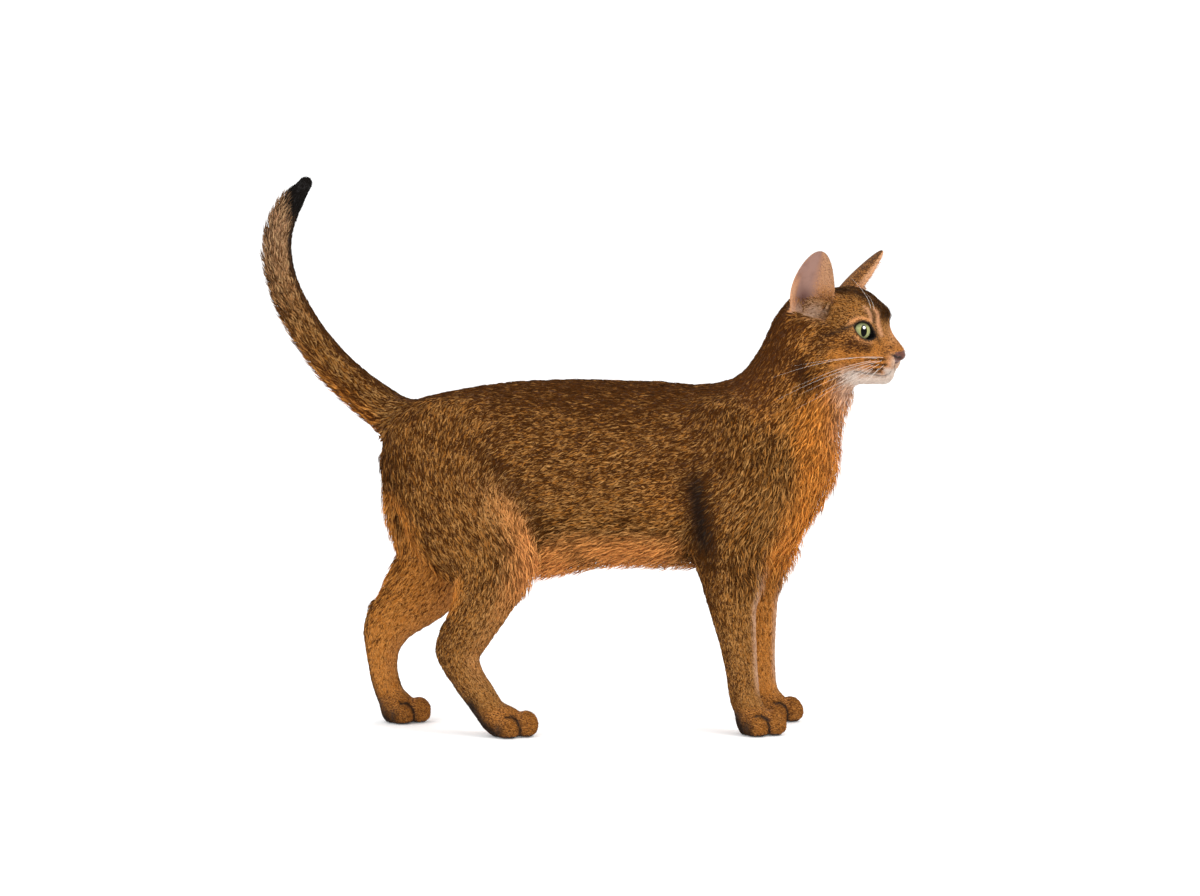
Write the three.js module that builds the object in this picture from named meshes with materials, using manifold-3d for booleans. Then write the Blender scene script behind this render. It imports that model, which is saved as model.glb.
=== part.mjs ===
// A short-haired cat standing on four feet with its tail raised, as a still, life-size model.
// Millimetres, +Z up. The cat faces +X, its left side is +Y, and the floor is z = 0.
import * as THREE from "three";
import { mergeVertices } from "three/addons/utils/BufferGeometryUtils.js";
import Module from "manifold-3d";

const wasm = await Module();
wasm.setup();

const xAxis = new THREE.Vector3(1, 0, 0);
const yAxis = new THREE.Vector3(0, 1, 0);
const zAxis = new THREE.Vector3(0, 0, 1);
const down = new THREE.Vector3(0, 0, -1);
const degrees = THREE.MathUtils.degToRad;

// ---- Driving sizes ----
const seam = 0.3; // gap that parts two nodes
const far = 1000; // side of the blocks that cut
const rayStep = 3; // step of the search for the surface
const halvings = 12; // how often the last step is halved
const joinTrunk = 18; // how softly the masses of the trunk run together
const joinNeck = 26;
const joinLimb = 16;
const joinTail = 14;
const joinHead = 12;
const joinPaw = 4;

// A joint of a chain: its place, its radius seen from the side, and its width as a share of that.
const joint = (x, y, z, radius, flat) => ({ at: new THREE.Vector3(x, y, z), radius, flat });

// Trunk from the breast to the rump.
const trunkJoints = [
  joint(159.5, 0, 221, 42, 0.86),
  joint(120, 0, 215, 65.5, 0.69),
  joint(60, 0, 214, 74.5, 0.66),
  joint(10, 0, 215, 75, 0.67),
  joint(-48, 0, 220.5, 68.3, 0.66),
  joint(-95, 0, 225, 57, 0.72),
  joint(-120, 0, 226, 44, 0.8),
];
// Breastbone, from the front of the chest down between the forelegs.
const breastJoints = [
  joint(160, 0, 216, 40, 0.8),
  joint(150, 0, 184, 36, 0.8),
  joint(128, 0, 164, 28, 0.9),
];
// Slack skin of the belly, lowest at the flank.
const bellyJoints = [
  joint(-66, 0, 167, 35, 0.7),
  joint(-34, 0, 167, 40, 0.78),
  joint(-5, 0, 177.5, 39, 0.85),
  joint(30, 0, 182, 38, 0.9),
  joint(90, 0, 174.5, 35.5, 0.8),
];
// Neck from the nape to the shoulders.
const neckJoints = [
  joint(188, -6, 321, 38, 0.84),
  joint(177.5, -4, 290, 42.6, 0.8),
  joint(158, 0, 256, 47, 0.78),
  joint(130, 0, 225, 54, 0.8),
];
const tailJoints = [
  joint(-112, 0, 246, 24, 1),
  joint(-143, 0, 252, 21, 0.95),
  joint(-172, 1, 271, 17.5, 1),
  joint(-201.5, 2, 296.5, 16, 1),
  joint(-227.5, 3, 329.8, 14.6, 1),
  joint(-246, 4, 368, 13.4, 1),
  joint(-250, 4, 402, 12.6, 1),
  joint(-240.3, 4, 430.5, 11.2, 1),
  joint(-228, 4, 447.7, 8, 1),
];
// Forelegs from the shoulder blade to the wrist: the right one stands a little behind the left.
const foreJoints = {
  right: [
    joint(112, -24, 250, 20, 0.9),
    joint(142, -31, 206, 33, 0.6),
    joint(120, -35, 160, 33, 0.62),
    joint(119, -36, 130, 25.5, 0.72),
    joint(121, -36, 106, 20.5, 0.82),
    joint(125, -35.5, 79, 16.3, 0.9),
    joint(128.6, -35, 52, 13.6, 1),
    joint(131.5, -34.5, 30, 13, 1.08),
  ],
  left: [
    joint(118, 24, 250, 20, 0.9),
    joint(150, 31, 206, 33, 0.6),
    joint(147, 35, 163, 34, 0.6),
    joint(143, 37, 130, 25.5, 0.72),
    joint(143.5, 38, 106, 20.5, 0.82),
    joint(145.5, 38, 79, 16.3, 0.9),
    joint(147.5, 38, 52, 13.4, 1),
    joint(149.5, 38, 30, 12.8, 1.08),
  ],
};
// Hind legs from the hip to the ankle: the left one is set back.
const hindJoints = {
  right: [
    joint(-113, -22, 223, 51, 0.5),
    joint(-95, -30, 178, 50, 0.46),
    joint(-75, -38, 140, 34.5, 0.56),
    joint(-80.5, -41, 113, 26, 0.72),
    joint(-92, -42, 88, 21, 0.8),
    joint(-99.5, -42, 68, 17, 0.85),
    joint(-94.5, -42, 50, 14.4, 0.92),
    joint(-83, -42, 32, 13.4, 1),
    joint(-73, -42, 16, 12.6, 1.05),
  ],
  left: [
    joint(-115, 22, 222, 53.5, 0.5),
    joint(-113, 29, 188, 55, 0.43),
    joint(-115, 34, 146, 41, 0.5),
    joint(-135.5, 35, 113, 31, 0.63),
    joint(-158.5, 35, 86, 20.5, 0.8),
    joint(-167, 35, 66, 15, 0.85),
    joint(-168, 35, 46, 12.6, 0.92),
    joint(-164, 35, 28, 12.2, 1.02),
    joint(-158, 35, 14, 12.2, 1.05),
  ],
};
// Heel bones, from the point of the hock down the back of the foot.
const heelJoints = {
  right: [
    joint(-106, -42, 84, 11, 0.8),
    joint(-112, -42, 70, 8.3, 0.9),
    joint(-104, -42, 55, 7.6, 0.9),
  ],
  left: [
    joint(-169, 35, 94, 11.5, 0.8),
    joint(-176, 35, 78, 9, 0.9),
    joint(-172.5, 35, 58, 8, 0.9),
  ],
};
// Feet: the middle of each, its turn in degrees, and where the foot is parted from the leg.
const feet = {
  right: {
    fore: { x: 144.5, y: -33.5, turn: -4, height: 31, lean: [-0.12, 0, 1] },
    hind: { x: -57.5, y: -42, turn: -3, height: 33, lean: [-0.45, 0, 1] },
  },
  left: {
    fore: { x: 163, y: 38, turn: 3, height: 31, lean: [-0.12, 0, 1] },
    hind: { x: -149, y: 34, turn: 3, height: 31, lean: [-0.2, 0, 1] },
  },
};

// Head: its own frame has its origin between the eyes, x to the nose and z up.
const headAt = new THREE.Vector3(227, -12, 329);
const headTurn = degrees(-22);
const midlineSoftness = 2; // how softly the head's two halves run together
const eyeAt = new THREE.Vector3(1.5, 17, -0.5);
const eyeRadius = 10.5;
const eyeGaze = degrees(38);
const lidThick = 1.5;
// Corners of the eye's opening, seen along its gaze, outwards and upwards, and the sweep of each lid.
const lidOpening = {
  outer: [9.3, 3.2],
  inner: [-9.9, -4.4],
  upper: [[6, 9.2], [-4.5, 10.4]],
  lower: [[-5, -9.6], [8.5, -7.6]],
};
const openingDepth = 25; // how far in front of the eye its opening is cut clear
const grooveRadius = 0.8; // line of the mouth
const skullCore = new THREE.Vector3(-10, 0, -7); // the point all parts of the head are seen from
const skullPole = new THREE.Vector3(1, 0, -0.75); // towards the muzzle, where the facets are smallest
const skullMesh = { rings: 31, sides: 34, limit: 78, crowd: 1.15 };
const mouthLine = [[28.5, 0.5, -28], [25, 6, -31.5], [17, 11.5, -33.5], [6, 15.5, -33], [-6, 18, -28.5]];
const lipCleft = [[27.5, 0, -22], [27, 0, -25], [26, 0, -28.5]];
const noseAt = [30.7, 0, -18.7];
const noseSize = [7.5, 7, 6.6];
const nostrilAt = [32.7, 3.9, -19.8];
const nostrilSize = [3, 1.5, 1.5];
const nostrilTurn = degrees(40);

// Ears: root and tip in the head's frame for a left ear, and the way each cup opens.
const earThick = 2.6;
const earSteps = { across: 10, along: 13 };
const earOpenness = 16; // how far the hollow of a cup is cut clear of the head
// How an ear's outline narrows to its tip and waist, and how its curl and its skin ease off.
const earForm = {
  crowd: 1.4, shoulder: 1.6, tip: 0.68, least: 0.002, waist: 0.5, uncurl: 0.45, edge: 0.6, thin: 0.5,
};
const earShapes = {
  right: { root: [-39.5, 29, 11], tip: [-23, 34, 66], open: [0.45, 0.9, 0.1], half: 22, curl: 66 },
  left: { root: [-26.5, 19, 12], tip: [11, 27, 65], open: [0.8, 0.55, -0.3], half: 25, curl: 70 },
};

// ---- Fields: negative inside, near to a distance in millimetres ----
const smoothMin = (a, b, k) => {
  const h = Math.max(k - Math.abs(a - b), 0) / k;
  return Math.min(a, b) - (h * h * k) / 4;
};

// A limb or trunk along a smooth curve through its joints.
function chain(joints, steps = 4) {
  const path = new THREE.CatmullRomCurve3(joints.map((j) => j.at));
  const widths = joints.map((j) => new THREE.Vector3(j.radius, j.flat * j.radius, 0));
  const size = new THREE.CatmullRomCurve3(widths);
  const count = (joints.length - 1) * steps;
  const links = [];
  for (let i = 0; i < count; i++) {
    const [a, b] = [path.getPoint(i / count), path.getPoint((i + 1) / count)];
    const [ra, rb] = [size.getPoint(i / count), size.getPoint((i + 1) / count)];
    const along = b.clone().sub(a);
    links.push({ a, along, ra: ra.x, rb: rb.x, fa: ra.y / ra.x, fb: rb.y / rb.x, l2: along.lengthSq() });
  }
  const field = (p) => {
    let best = far;
    for (const { a, along, ra, rb, fa, fb, l2 } of links) {
      const [x, y, z] = [p.x - a.x, p.y - a.y, p.z - a.z];
      const t = Math.min(Math.max((x * along.x + y * along.y + z * along.z) / l2, 0), 1);
      const across = (y - along.y * t) / (fa + (fb - fa) * t);
      const d = Math.hypot(x - along.x * t, across, z - along.z * t) - (ra + (rb - ra) * t);
      best = Math.min(best, d);
    }
    return best;
  };
  return { field, path };
}

function ellipsoid(x, y, z, rx, ry, rz) {
  return (p) => {
    const [ax, ay, az] = [(p.x - x) / rx, (p.y - y) / ry, (p.z - z) / rz];
    const k0 = Math.hypot(ax, ay, az);
    const k1 = Math.hypot(ax / rx, ay / ry, az / rz);
    return k1 < 1e-9 ? -Math.min(rx, ry, rz) : (k0 * (k0 - 1)) / k1;
  };
}

// Masses given for the side where y is positive, each with the softness of its join to the rest.
const gather = (masses, p) => masses.reduce((all, [mass, k]) => smoothMin(all, mass(p), k), far);

const trunk = chain(trunkJoints);
const breast = chain(breastJoints);
const belly = chain(bellyJoints);
const neck = chain(neckJoints);
const tail = chain(tailJoints);

const noseJoints = [joint(11, 0, 10, 9, 1), joint(18.3, 0, -4, 7.4, 1.1), joint(29.6, 0, -16.7, 6.2, 1.1)];
const jawJoints = [joint(16.3, 2, -36, 8.4, 1.15), joint(-3, 9, -34, 9.5, 1), joint(-24, 18, -26, 14, 1)];
const noseBridge = chain(noseJoints);
const jaw = chain(jawJoints);
const headMasses = [
  [ellipsoid(-18, 0, 6, 35, 31, 30), 1],
  [ellipsoid(-6.5, 0, 8, 25, 22, 25), 8], // forehead
  [ellipsoid(9.2, 12.3, 13, 10.5, 8.5, 7.5), 8], // brow
  [ellipsoid(-10, 20, -12, 24, 16, 20), 12], // cheek
  [ellipsoid(3, 9, -14, 17, 12.5, 14), 10], // upper jaw
  [noseBridge.field, 8],
  [ellipsoid(18, 8, -25.6, 12.3, 9.6, 8.8), 7], // whisker pad
  [jaw.field, 6],
  [ellipsoid(-38, 17, 17, 18, 13, 15), 10], // root of the ear
];
const headFrame = new THREE.Matrix4().makeRotationZ(headTurn).setPosition(headAt);
const intoHead = headFrame.clone().invert();
const inHead = new THREE.Vector3();
function headField(p) {
  inHead.copy(p).applyMatrix4(intoHead);
  inHead.y = Math.hypot(inHead.y, midlineSoftness);
  return gather(headMasses, inHead);
}

// Trunk, neck and head run softly into one another.
function coreField(p) {
  let core = smoothMin(trunk.field(p), breast.field(p), joinTrunk);
  core = smoothMin(core, belly.field(p), joinTrunk);
  core = smoothMin(core, neck.field(p), joinNeck);
  return smoothMin(core, headField(p), joinHead);
}

// A foot in its own frame, x to the toes.
const pawMasses = [
  [ellipsoid(-6.5, 0, 11, 13.5, 14, 15), 1],
  [ellipsoid(0.5, 0, 10, 16.5, 14.5, 13), 8],
  [ellipsoid(10, 4.6, 8.2, 12.5, 6.4, 10.6), 2.5], // inner toe
  [ellipsoid(5, 12.2, 7, 12, 6.2, 9), 2.5], // outer toe
];
function pawField({ x, y, turn }) {
  const into = new THREE.Matrix4().makeRotationZ(degrees(turn)).setPosition(x, y, 0).invert();
  const at = new THREE.Vector3();
  return (p) => {
    at.copy(p).applyMatrix4(into);
    at.y = Math.abs(at.y);
    return gather(pawMasses, at);
  };
}

const limbs = [];
for (const side of ["right", "left"]) {
  const fore = chain(foreJoints[side]);
  const hind = chain(hindJoints[side]);
  const heel = chain(heelJoints[side]);
  const forePaw = pawField(feet[side].fore);
  const hindPaw = pawField(feet[side].hind);
  limbs.push({
    side,
    kind: "fore",
    path: fore.path,
    field: (p) => smoothMin(fore.field(p), forePaw(p), joinPaw),
  });
  limbs.push({
    side,
    kind: "hind",
    path: hind.path,
    field: (p) => smoothMin(smoothMin(hind.field(p), heel.field(p), joinPaw), hindPaw(p), joinPaw),
  });
}

// The whole outer form of the coat. The limbs run into the trunk and not into each other.
function catField(p) {
  const core = smoothMin(coreField(p), tail.field(p), joinTail);
  return limbs.reduce((all, { field }) => Math.min(all, smoothMin(core, field(p), joinLimb)), core);
}

// The trunk with no more than the first few millimetres of each limb.
const limbStub = 12;
const trunkField = (p) => Math.max(catField(p), Math.min(coreField(p), tail.field(p)) - limbStub);

// ---- Solids ----
function solidOf(geometry, matrix = new THREE.Matrix4()) {
  const bare = geometry.clone().applyMatrix4(matrix);
  for (const name of Object.keys(bare.attributes)) if (name !== "position") bare.deleteAttribute(name);
  const merged = mergeVertices(bare, 1e-3);
  const triVerts = new Uint32Array(merged.index.array);
  if (matrix.determinant() < 0) triVerts.reverse();
  return new wasm.Manifold(
    new wasm.Mesh({ numProp: 3, vertProperties: merged.attributes.position.array, triVerts }),
  );
}

function geometryOf(solid) {
  const mesh = solid.getMesh();
  const corners = new Float32Array(mesh.numVert * 3);
  for (let i = 0; i < mesh.numVert; i++)
    corners.set(mesh.vertProperties.subarray(i * mesh.numProp, i * mesh.numProp + 3), i * 3);
  return new THREE.BufferGeometry()
    .setAttribute("position", new THREE.BufferAttribute(corners, 3))
    .setIndex(new THREE.BufferAttribute(mesh.triVerts, 1));
}

// Only the largest closed body of a cut piece is kept.
const largest = (solid) => solid.decompose().reduce((a, b) => (b.volume() > a.volume() ? b : a));

// Everything on the side of a plane that its normal points to, starting `away` from it.
function beyond(point, normal, away = 0) {
  const way = normal.clone().normalize();
  const turn = new THREE.Quaternion().setFromUnitVectors(zAxis, way);
  const middle = point.clone().addScaledVector(way, far / 2 + away);
  const place = new THREE.Matrix4().compose(middle, turn, new THREE.Vector3(1, 1, 1));
  return solidOf(new THREE.BoxGeometry(far, far, far), place);
}

// The two halves of a solid at a plane, the front one first, with the seam between them.
function part(solid, { at, normal }) {
  const point = new THREE.Vector3(...at);
  const way = new THREE.Vector3(...normal);
  const front = solid.intersect(beyond(point, way, seam / 2));
  const behind = solid.intersect(beyond(point, way.negate(), seam / 2));
  return [front, behind];
}

// How far the surface lies from a point inside it, in one direction, up to a limit.
function reach(field, from, way, limit) {
  const at = new THREE.Vector3();
  const value = (r) => field(at.copy(from).addScaledVector(way, r));
  let inside = 0;
  while (inside < limit && value(inside + rayStep) < 0) inside += rayStep;
  if (inside >= limit) return limit;
  let outside = inside + rayStep;
  for (let i = 0; i < halvings; i++) {
    const middle = (inside + outside) / 2;
    if (value(middle) < 0) inside = middle;
    else outside = middle;
  }
  return Math.min((inside + outside) / 2, limit);
}

// A closed sleeve round a path, each of its corners drawn out to the surface of a field.
// Its rings lie square to the heading, or to the path where none is given, and its ends are domed.
function sleeve(field, path, { rings, sides, limit, heading = null, domes = 3 }) {
  const geometry = new THREE.CapsuleGeometry(1, 1, domes, sides, rings);
  const spots = geometry.attributes.position;
  const half = 0.5;
  const way = new THREE.Vector3();
  for (let i = 0; i < spots.count; i++) {
    const [x, y, z] = [spots.getX(i), spots.getY(i), spots.getZ(i)];
    const along = THREE.MathUtils.clamp(y, -half, half);
    const v = along + half;
    const ahead = heading ? heading.clone().normalize() : path.getTangent(v);
    const side = yAxis.clone().addScaledVector(ahead, -yAxis.dot(ahead)).normalize();
    const third = side.clone().cross(ahead);
    const centre = path.getPoint(v);
    way.set(0, 0, 0).addScaledVector(side, x).addScaledVector(third, z);
    way.addScaledVector(ahead, y - along).normalize();
    centre.addScaledVector(way, reach(field, centre, way, limit));
    spots.setXYZ(i, centre.x, centre.y, centre.z);
  }
  return solidOf(geometry);
}

// A ball round a point, each of its corners drawn out to the surface of a field.
// Its pole is ahead, its rings crowd towards the pole, and `grow` is added all over.
function ballOn(field, centre, ahead, { rings, sides, limit, crowd = 1 }, grow = 0) {
  const turn = new THREE.Quaternion().setFromUnitVectors(yAxis, ahead.clone().normalize());
  const geometry = new THREE.SphereGeometry(1, sides, rings);
  const spots = geometry.attributes.position;
  const way = new THREE.Vector3();
  for (let i = 0; i < spots.count; i++) {
    way.fromBufferAttribute(spots, i);
    const polar = Math.acos(THREE.MathUtils.clamp(way.y, -1, 1));
    const moved = Math.PI * (polar / Math.PI) ** crowd;
    const ring = Math.hypot(way.x, way.z);
    const scale = ring > 1e-6 ? Math.sin(moved) / ring : 0;
    way.set(way.x * scale, Math.cos(moved), way.z * scale).applyQuaternion(turn);
    const r = reach(field, centre, way, limit) + grow;
    spots.setXYZ(i, centre.x + way.x * r, centre.y + way.y * r, centre.z + way.z * r);
  }
  return solidOf(geometry);
}

// A block seen from the side: a smooth closed outline in x and z, moved outwards by `grow`.
function sideBlock(points, low, high, grow = 0) {
  const curve = new THREE.CatmullRomCurve3(points.map(([x, z]) => new THREE.Vector3(x, z, 0)), true);
  const count = points.length * 3;
  const outline = [];
  for (let i = 0; i < count; i++) {
    const [at, way] = [curve.getPoint(i / count), curve.getTangent(i / count)];
    outline.push(new THREE.Vector2(at.x + way.y * grow, at.y - way.x * grow));
  }
  const shape = new THREE.Shape(outline);
  const block = new THREE.ExtrudeGeometry(shape, { depth: high - low, bevelEnabled: false });
  return solidOf(block, new THREE.Matrix4().makeRotationX(Math.PI / 2).setPosition(0, high, 0));
}

const rod = (path, radius, rings) => sleeve(() => -1, path, { rings, sides: 5, limit: radius, domes: 2 });
const headPlace = (mirror) => headFrame.clone().multiply(scaledTo(1, mirror, 1));
const placed = (x, y, z) => new THREE.Matrix4().makeTranslation(x, y, z);
const scaledTo = (x, y, z) => new THREE.Matrix4().makeScale(x, y, z);

// ---- Nodes ----
const cat = new THREE.Group();
const coats = {
  back: 0x6d4424,
  leg: 0x855227,
  face: 0x7c4e28,
  foot: 0x6b4122,
  ear: 0x94664a,
  tip: 0x2b211c,
  nose: 0x74392a,
  eye: 0x8f9a45,
};
function addNode(name, solid, color, roughness = 0.85) {
  const material = new THREE.MeshStandardMaterial({ color, roughness, metalness: 0 });
  const mesh = new THREE.Mesh(geometryOf(largest(solid)), material);
  mesh.name = name;
  cat.add(mesh);
}

const headPlane = { at: [193.3, 0, 313], normal: [0.753, 0, 0.658] };
const neckPlane = { at: [156, 0, 262], normal: [0.525, 0, 0.851] };
const tailPlane = { at: [-156, 0, 258], normal: [0.97, 0, -0.25] };
const tailMiddlePlane = { at: [-214, 0, 313], normal: [-0.63, 0, 0.77] };
const tailTipPlane = { at: [-243.5, 0, 421], normal: [0.34, 0, 0.94] };

// Outlines that part a limb from the trunk, seen from the side, anticlockwise.
const limbOutlines = {
  right: {
    fore: [
      [60, -40], [200, -40], [190, 60], [168, 110], [158, 148], [136, 166], [110, 159], [91, 132], [80, 60],
    ],
    hind: [
      [-160, -40], [-20, -40], [-18, 60], [-36, 122], [-43, 152], [-50, 184], [-74, 232], [-112, 249],
      [-178, 212], [-210, 120], [-190, 40],
    ],
  },
  left: {
    fore: [
      [80, -40], [230, -40], [215, 60], [192, 110], [180, 148], [158, 166], [130, 159], [110, 132], [95, 60],
    ],
    hind: [
      [-230, -40], [-95, -40], [-88, 60], [-76, 118], [-67, 152], [-61, 190], [-79, 232], [-112, 249],
      [-178, 212], [-220, 120], [-230, 40],
    ],
  },
};
const limbInner = { fore: 8, hind: 5 }; // half the width of the trunk left between two limbs
const limbMesh = {
  fore: { rings: 22, sides: 18, limit: 58, heading: down },
  hind: { rings: 25, sides: 18, limit: 62, heading: down },
};
const pawMesh = { rings: 15, sides: 24, limit: 36 };
const pawCore = 9; // height of the point a foot is seen from

function addTrunkAndLimbs() {
  const whole = sleeve(trunkField, trunk.path, {
    rings: 26, sides: 30, limit: 90, heading: new THREE.Vector3(-1, 0, 0), domes: 7,
  });
  let torso = part(part(whole, neckPlane)[1], tailPlane)[0];
  for (const { side, kind, path, field } of limbs) {
    const inner = limbInner[kind];
    const span = (gap) => (side === "left" ? [inner - gap, far / 4] : [-far / 4, gap - inner]);
    const outline = limbOutlines[side][kind];
    torso = torso.subtract(sideBlock(outline, ...span(seam), seam));
    const limbField = (p) => smoothMin(coreField(p), field(p), joinLimb);
    const limb = sleeve(limbField, path, limbMesh[kind]).intersect(sideBlock(outline, ...span(0)));
    const { x, y, height, lean } = feet[side][kind];
    const wrist = { at: [x, y, height], normal: lean };
    addNode(`${kind}leg_${side}`, part(limb, wrist)[0], coats.leg);
    const foot = ballOn(field, new THREE.Vector3(x, y, pawCore), xAxis, pawMesh);
    const footOnly = part(foot, wrist)[1].subtract(beyond(new THREE.Vector3(), down));
    addNode(`${kind}paw_${side}`, footOnly, coats.foot);
  }
  addNode("torso", torso, coats.back);
}

function addNeckAndTail() {
  const mesh = { rings: 10, sides: 26, limit: 76, heading: new THREE.Vector3(-0.6, 0, -0.8) };
  const whole = sleeve(coreField, neck.path, mesh);
  addNode("neck", part(part(whole, headPlane)[1], neckPlane)[0], coats.back);
  const tailField = (p) => smoothMin(tail.field(p), coreField(p), joinTail);
  const wholeTail = sleeve(tailField, tail.path, { rings: 30, sides: 14, limit: 40, domes: 3 });
  const [outer, base] = part(part(wholeTail, tailPlane)[1], tailMiddlePlane);
  const [tip, middle] = part(outer, tailTipPlane);
  addNode("tail_base", base, coats.back);
  addNode("tail_middle", middle, coats.back);
  addNode("tail_tip", tip, coats.tip);
}

// An ear's own frame on the head: out of the cup, across, and up to the tip.
function earFrame({ root, tip, open }, mirror) {
  const up = new THREE.Vector3(...tip).sub(new THREE.Vector3(...root)).normalize();
  const out = new THREE.Vector3(...open);
  out.addScaledVector(up, -out.dot(up)).normalize();
  const stand = new THREE.Matrix4().makeBasis(out, up.clone().cross(out), up).setPosition(...root);
  return headPlace(mirror).multiply(stand);
}

// An ear: a curled leaf of skin, narrow and cupped at its root, widest below the middle, with a
// rounded tip. As a hollow it is what the leaf encloses, cut clear on the open side.
function earSolid(shape, mirror, hollow = false) {
  const { root, tip, half, curl } = shape;
  const { crowd, shoulder, least, waist, uncurl, edge, thin } = earForm;
  const leaf = new THREE.BoxGeometry(1, 1, 1, earSteps.across, earSteps.along, 1);
  const spots = leaf.attributes.position;
  const height = new THREE.Vector3(...tip).distanceTo(new THREE.Vector3(...root));
  for (let i = 0; i < spots.count; i++) {
    const [u, v, w] = [spots.getX(i) * 2, spots.getY(i) + 0.5, spots.getZ(i)];
    const rise = 1 - (1 - v) ** crowd;
    const taper = Math.max(1 - rise ** shoulder, least) ** earForm.tip;
    const width = half * taper * (1 - waist * (1 - rise) ** 3);
    const angle = degrees(curl) * (1 - uncurl * rise);
    const thick = earThick * (1 - edge * u * u) * (1 - thin * rise);
    const radius = width / Math.sin(angle);
    const r = radius + (hollow ? -thick / 2 : w * thick);
    const back = radius * Math.cos(angle) - r * Math.cos(u * angle);
    const mouth = hollow && w < 0;
    spots.setXYZ(i, mouth ? earOpenness : back, -r * Math.sin(u * angle), rise * height);
  }
  return solidOf(leaf, earFrame(shape, mirror));
}

// Eyeball, the shell of its lids, its socket and the opening between the lids.
function eyeTools(mirror) {
  const gaze = new THREE.Matrix4().makeRotationZ(eyeGaze).setPosition(eyeAt);
  const place = headPlace(mirror).multiply(gaze);
  const ball = (radius) => {
    const sphere = new THREE.SphereGeometry(radius, 20, 14);
    return solidOf(sphere, place.clone().multiply(new THREE.Matrix4().makeRotationZ(-Math.PI / 2)));
  };
  const { outer, inner, upper, lower } = lidOpening;
  const almond = new THREE.Shape();
  almond.moveTo(...outer);
  almond.bezierCurveTo(...upper[0], ...upper[1], ...inner);
  almond.bezierCurveTo(...lower[0], ...lower[1], ...outer);
  const cut = { depth: openingDepth, bevelEnabled: false, curveSegments: 12 };
  const prism = new THREE.ExtrudeGeometry(almond, cut);
  const alongGaze = new THREE.Matrix4().makeBasis(yAxis, zAxis, xAxis).setPosition(1, 0, 0);
  return {
    ball: ball(eyeRadius),
    lids: ball(eyeRadius + lidThick),
    socket: ball(eyeRadius + seam),
    opening: solidOf(prism, place.clone().multiply(alongGaze)),
  };
}

// A curve laid on the face: each point is drawn to the surface from inside the head.
function onFace(points, mirror) {
  const inside = skullCore.clone().applyMatrix4(headFrame);
  const laid = points.map(([x, y, z]) => {
    const way = new THREE.Vector3(x, y, z).applyMatrix4(headPlace(mirror)).sub(inside).normalize();
    return inside.clone().addScaledVector(way, reach(coreField, inside, way, skullMesh.limit));
  });
  return new THREE.CatmullRomCurve3(laid);
}

function addHead() {
  const middle = skullCore.clone().applyMatrix4(headFrame);
  const ahead = skullPole.clone().transformDirection(headFrame);
  const skull = ballOn(coreField, middle, ahead, skullMesh);
  const grown = ballOn(coreField, middle, ahead, skullMesh, seam);
  let [head] = part(skull, headPlane);
  for (const [side, mirror] of [["right", -1], ["left", 1]]) {
    const { ball, lids, socket, opening } = eyeTools(mirror);
    head = head.add(lids).subtract(socket).subtract(opening);
    addNode(`eye_${side}`, ball, coats.eye, 0.12);
    addNode(`ear_${side}`, earSolid(earShapes[side], mirror).subtract(grown), coats.ear);
    head = head.subtract(earSolid(earShapes[side], mirror, true));
    head = head.subtract(rod(onFace(mouthLine, mirror), grooveRadius, 11));
  }
  head = head.subtract(rod(onFace(lipCleft, 1), grooveRadius, 3));
  const pad = (grow) => solidOf(
    new THREE.SphereGeometry(1, 14, 10),
    headPlace(1).multiply(placed(...noseAt)).multiply(scaledTo(...noseSize.map((r) => r + grow))),
  );
  let nose = skull.intersect(pad(0));
  head = head.subtract(pad(seam));
  for (const mirror of [-1, 1]) {
    const turned = new THREE.Matrix4().makeRotationZ(nostrilTurn).setPosition(...nostrilAt);
    const hole = headPlace(mirror).multiply(turned).multiply(scaledTo(...nostrilSize));
    nose = nose.subtract(solidOf(new THREE.SphereGeometry(1, 8, 6), hole));
  }
  addNode("head", head, coats.face);
  addNode("nose", nose, coats.nose, 0.45);
}

addTrunkAndLimbs();
addNeckAndTail();
addHead();
export default cat;
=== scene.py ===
# A ruddy short-haired cat: one skin under a short ticked coat, with its eyes and whiskers.
# All tables and fields are in millimetres, and every finished mesh is in metres.
import math
import bpy
import numpy as np
import openvdb
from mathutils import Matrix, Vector


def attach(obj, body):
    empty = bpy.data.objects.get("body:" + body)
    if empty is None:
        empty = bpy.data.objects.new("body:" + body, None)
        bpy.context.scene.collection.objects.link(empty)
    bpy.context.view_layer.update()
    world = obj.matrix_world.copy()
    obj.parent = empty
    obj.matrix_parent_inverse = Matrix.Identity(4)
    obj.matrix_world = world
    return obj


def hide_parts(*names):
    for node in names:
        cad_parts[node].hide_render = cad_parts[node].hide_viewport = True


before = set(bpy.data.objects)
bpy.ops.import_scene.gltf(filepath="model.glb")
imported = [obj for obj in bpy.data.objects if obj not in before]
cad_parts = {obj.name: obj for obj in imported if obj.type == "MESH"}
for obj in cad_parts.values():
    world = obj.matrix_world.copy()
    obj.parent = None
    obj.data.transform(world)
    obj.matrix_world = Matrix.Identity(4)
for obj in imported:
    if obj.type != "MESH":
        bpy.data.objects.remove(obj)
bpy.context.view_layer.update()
mm = 0.001
seed = 7
far = 1000.0
sides = {"right": -1, "left": 1}
reaches = {"chain": 45, "head": 130, "paw": 70}  # how far from each mass its field is worked out
probe = 0.2  # the step along a normal that measures a field's slope
edgeKey = 10000000  # more than the points of any mesh, to number its edges by their two ends

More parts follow.
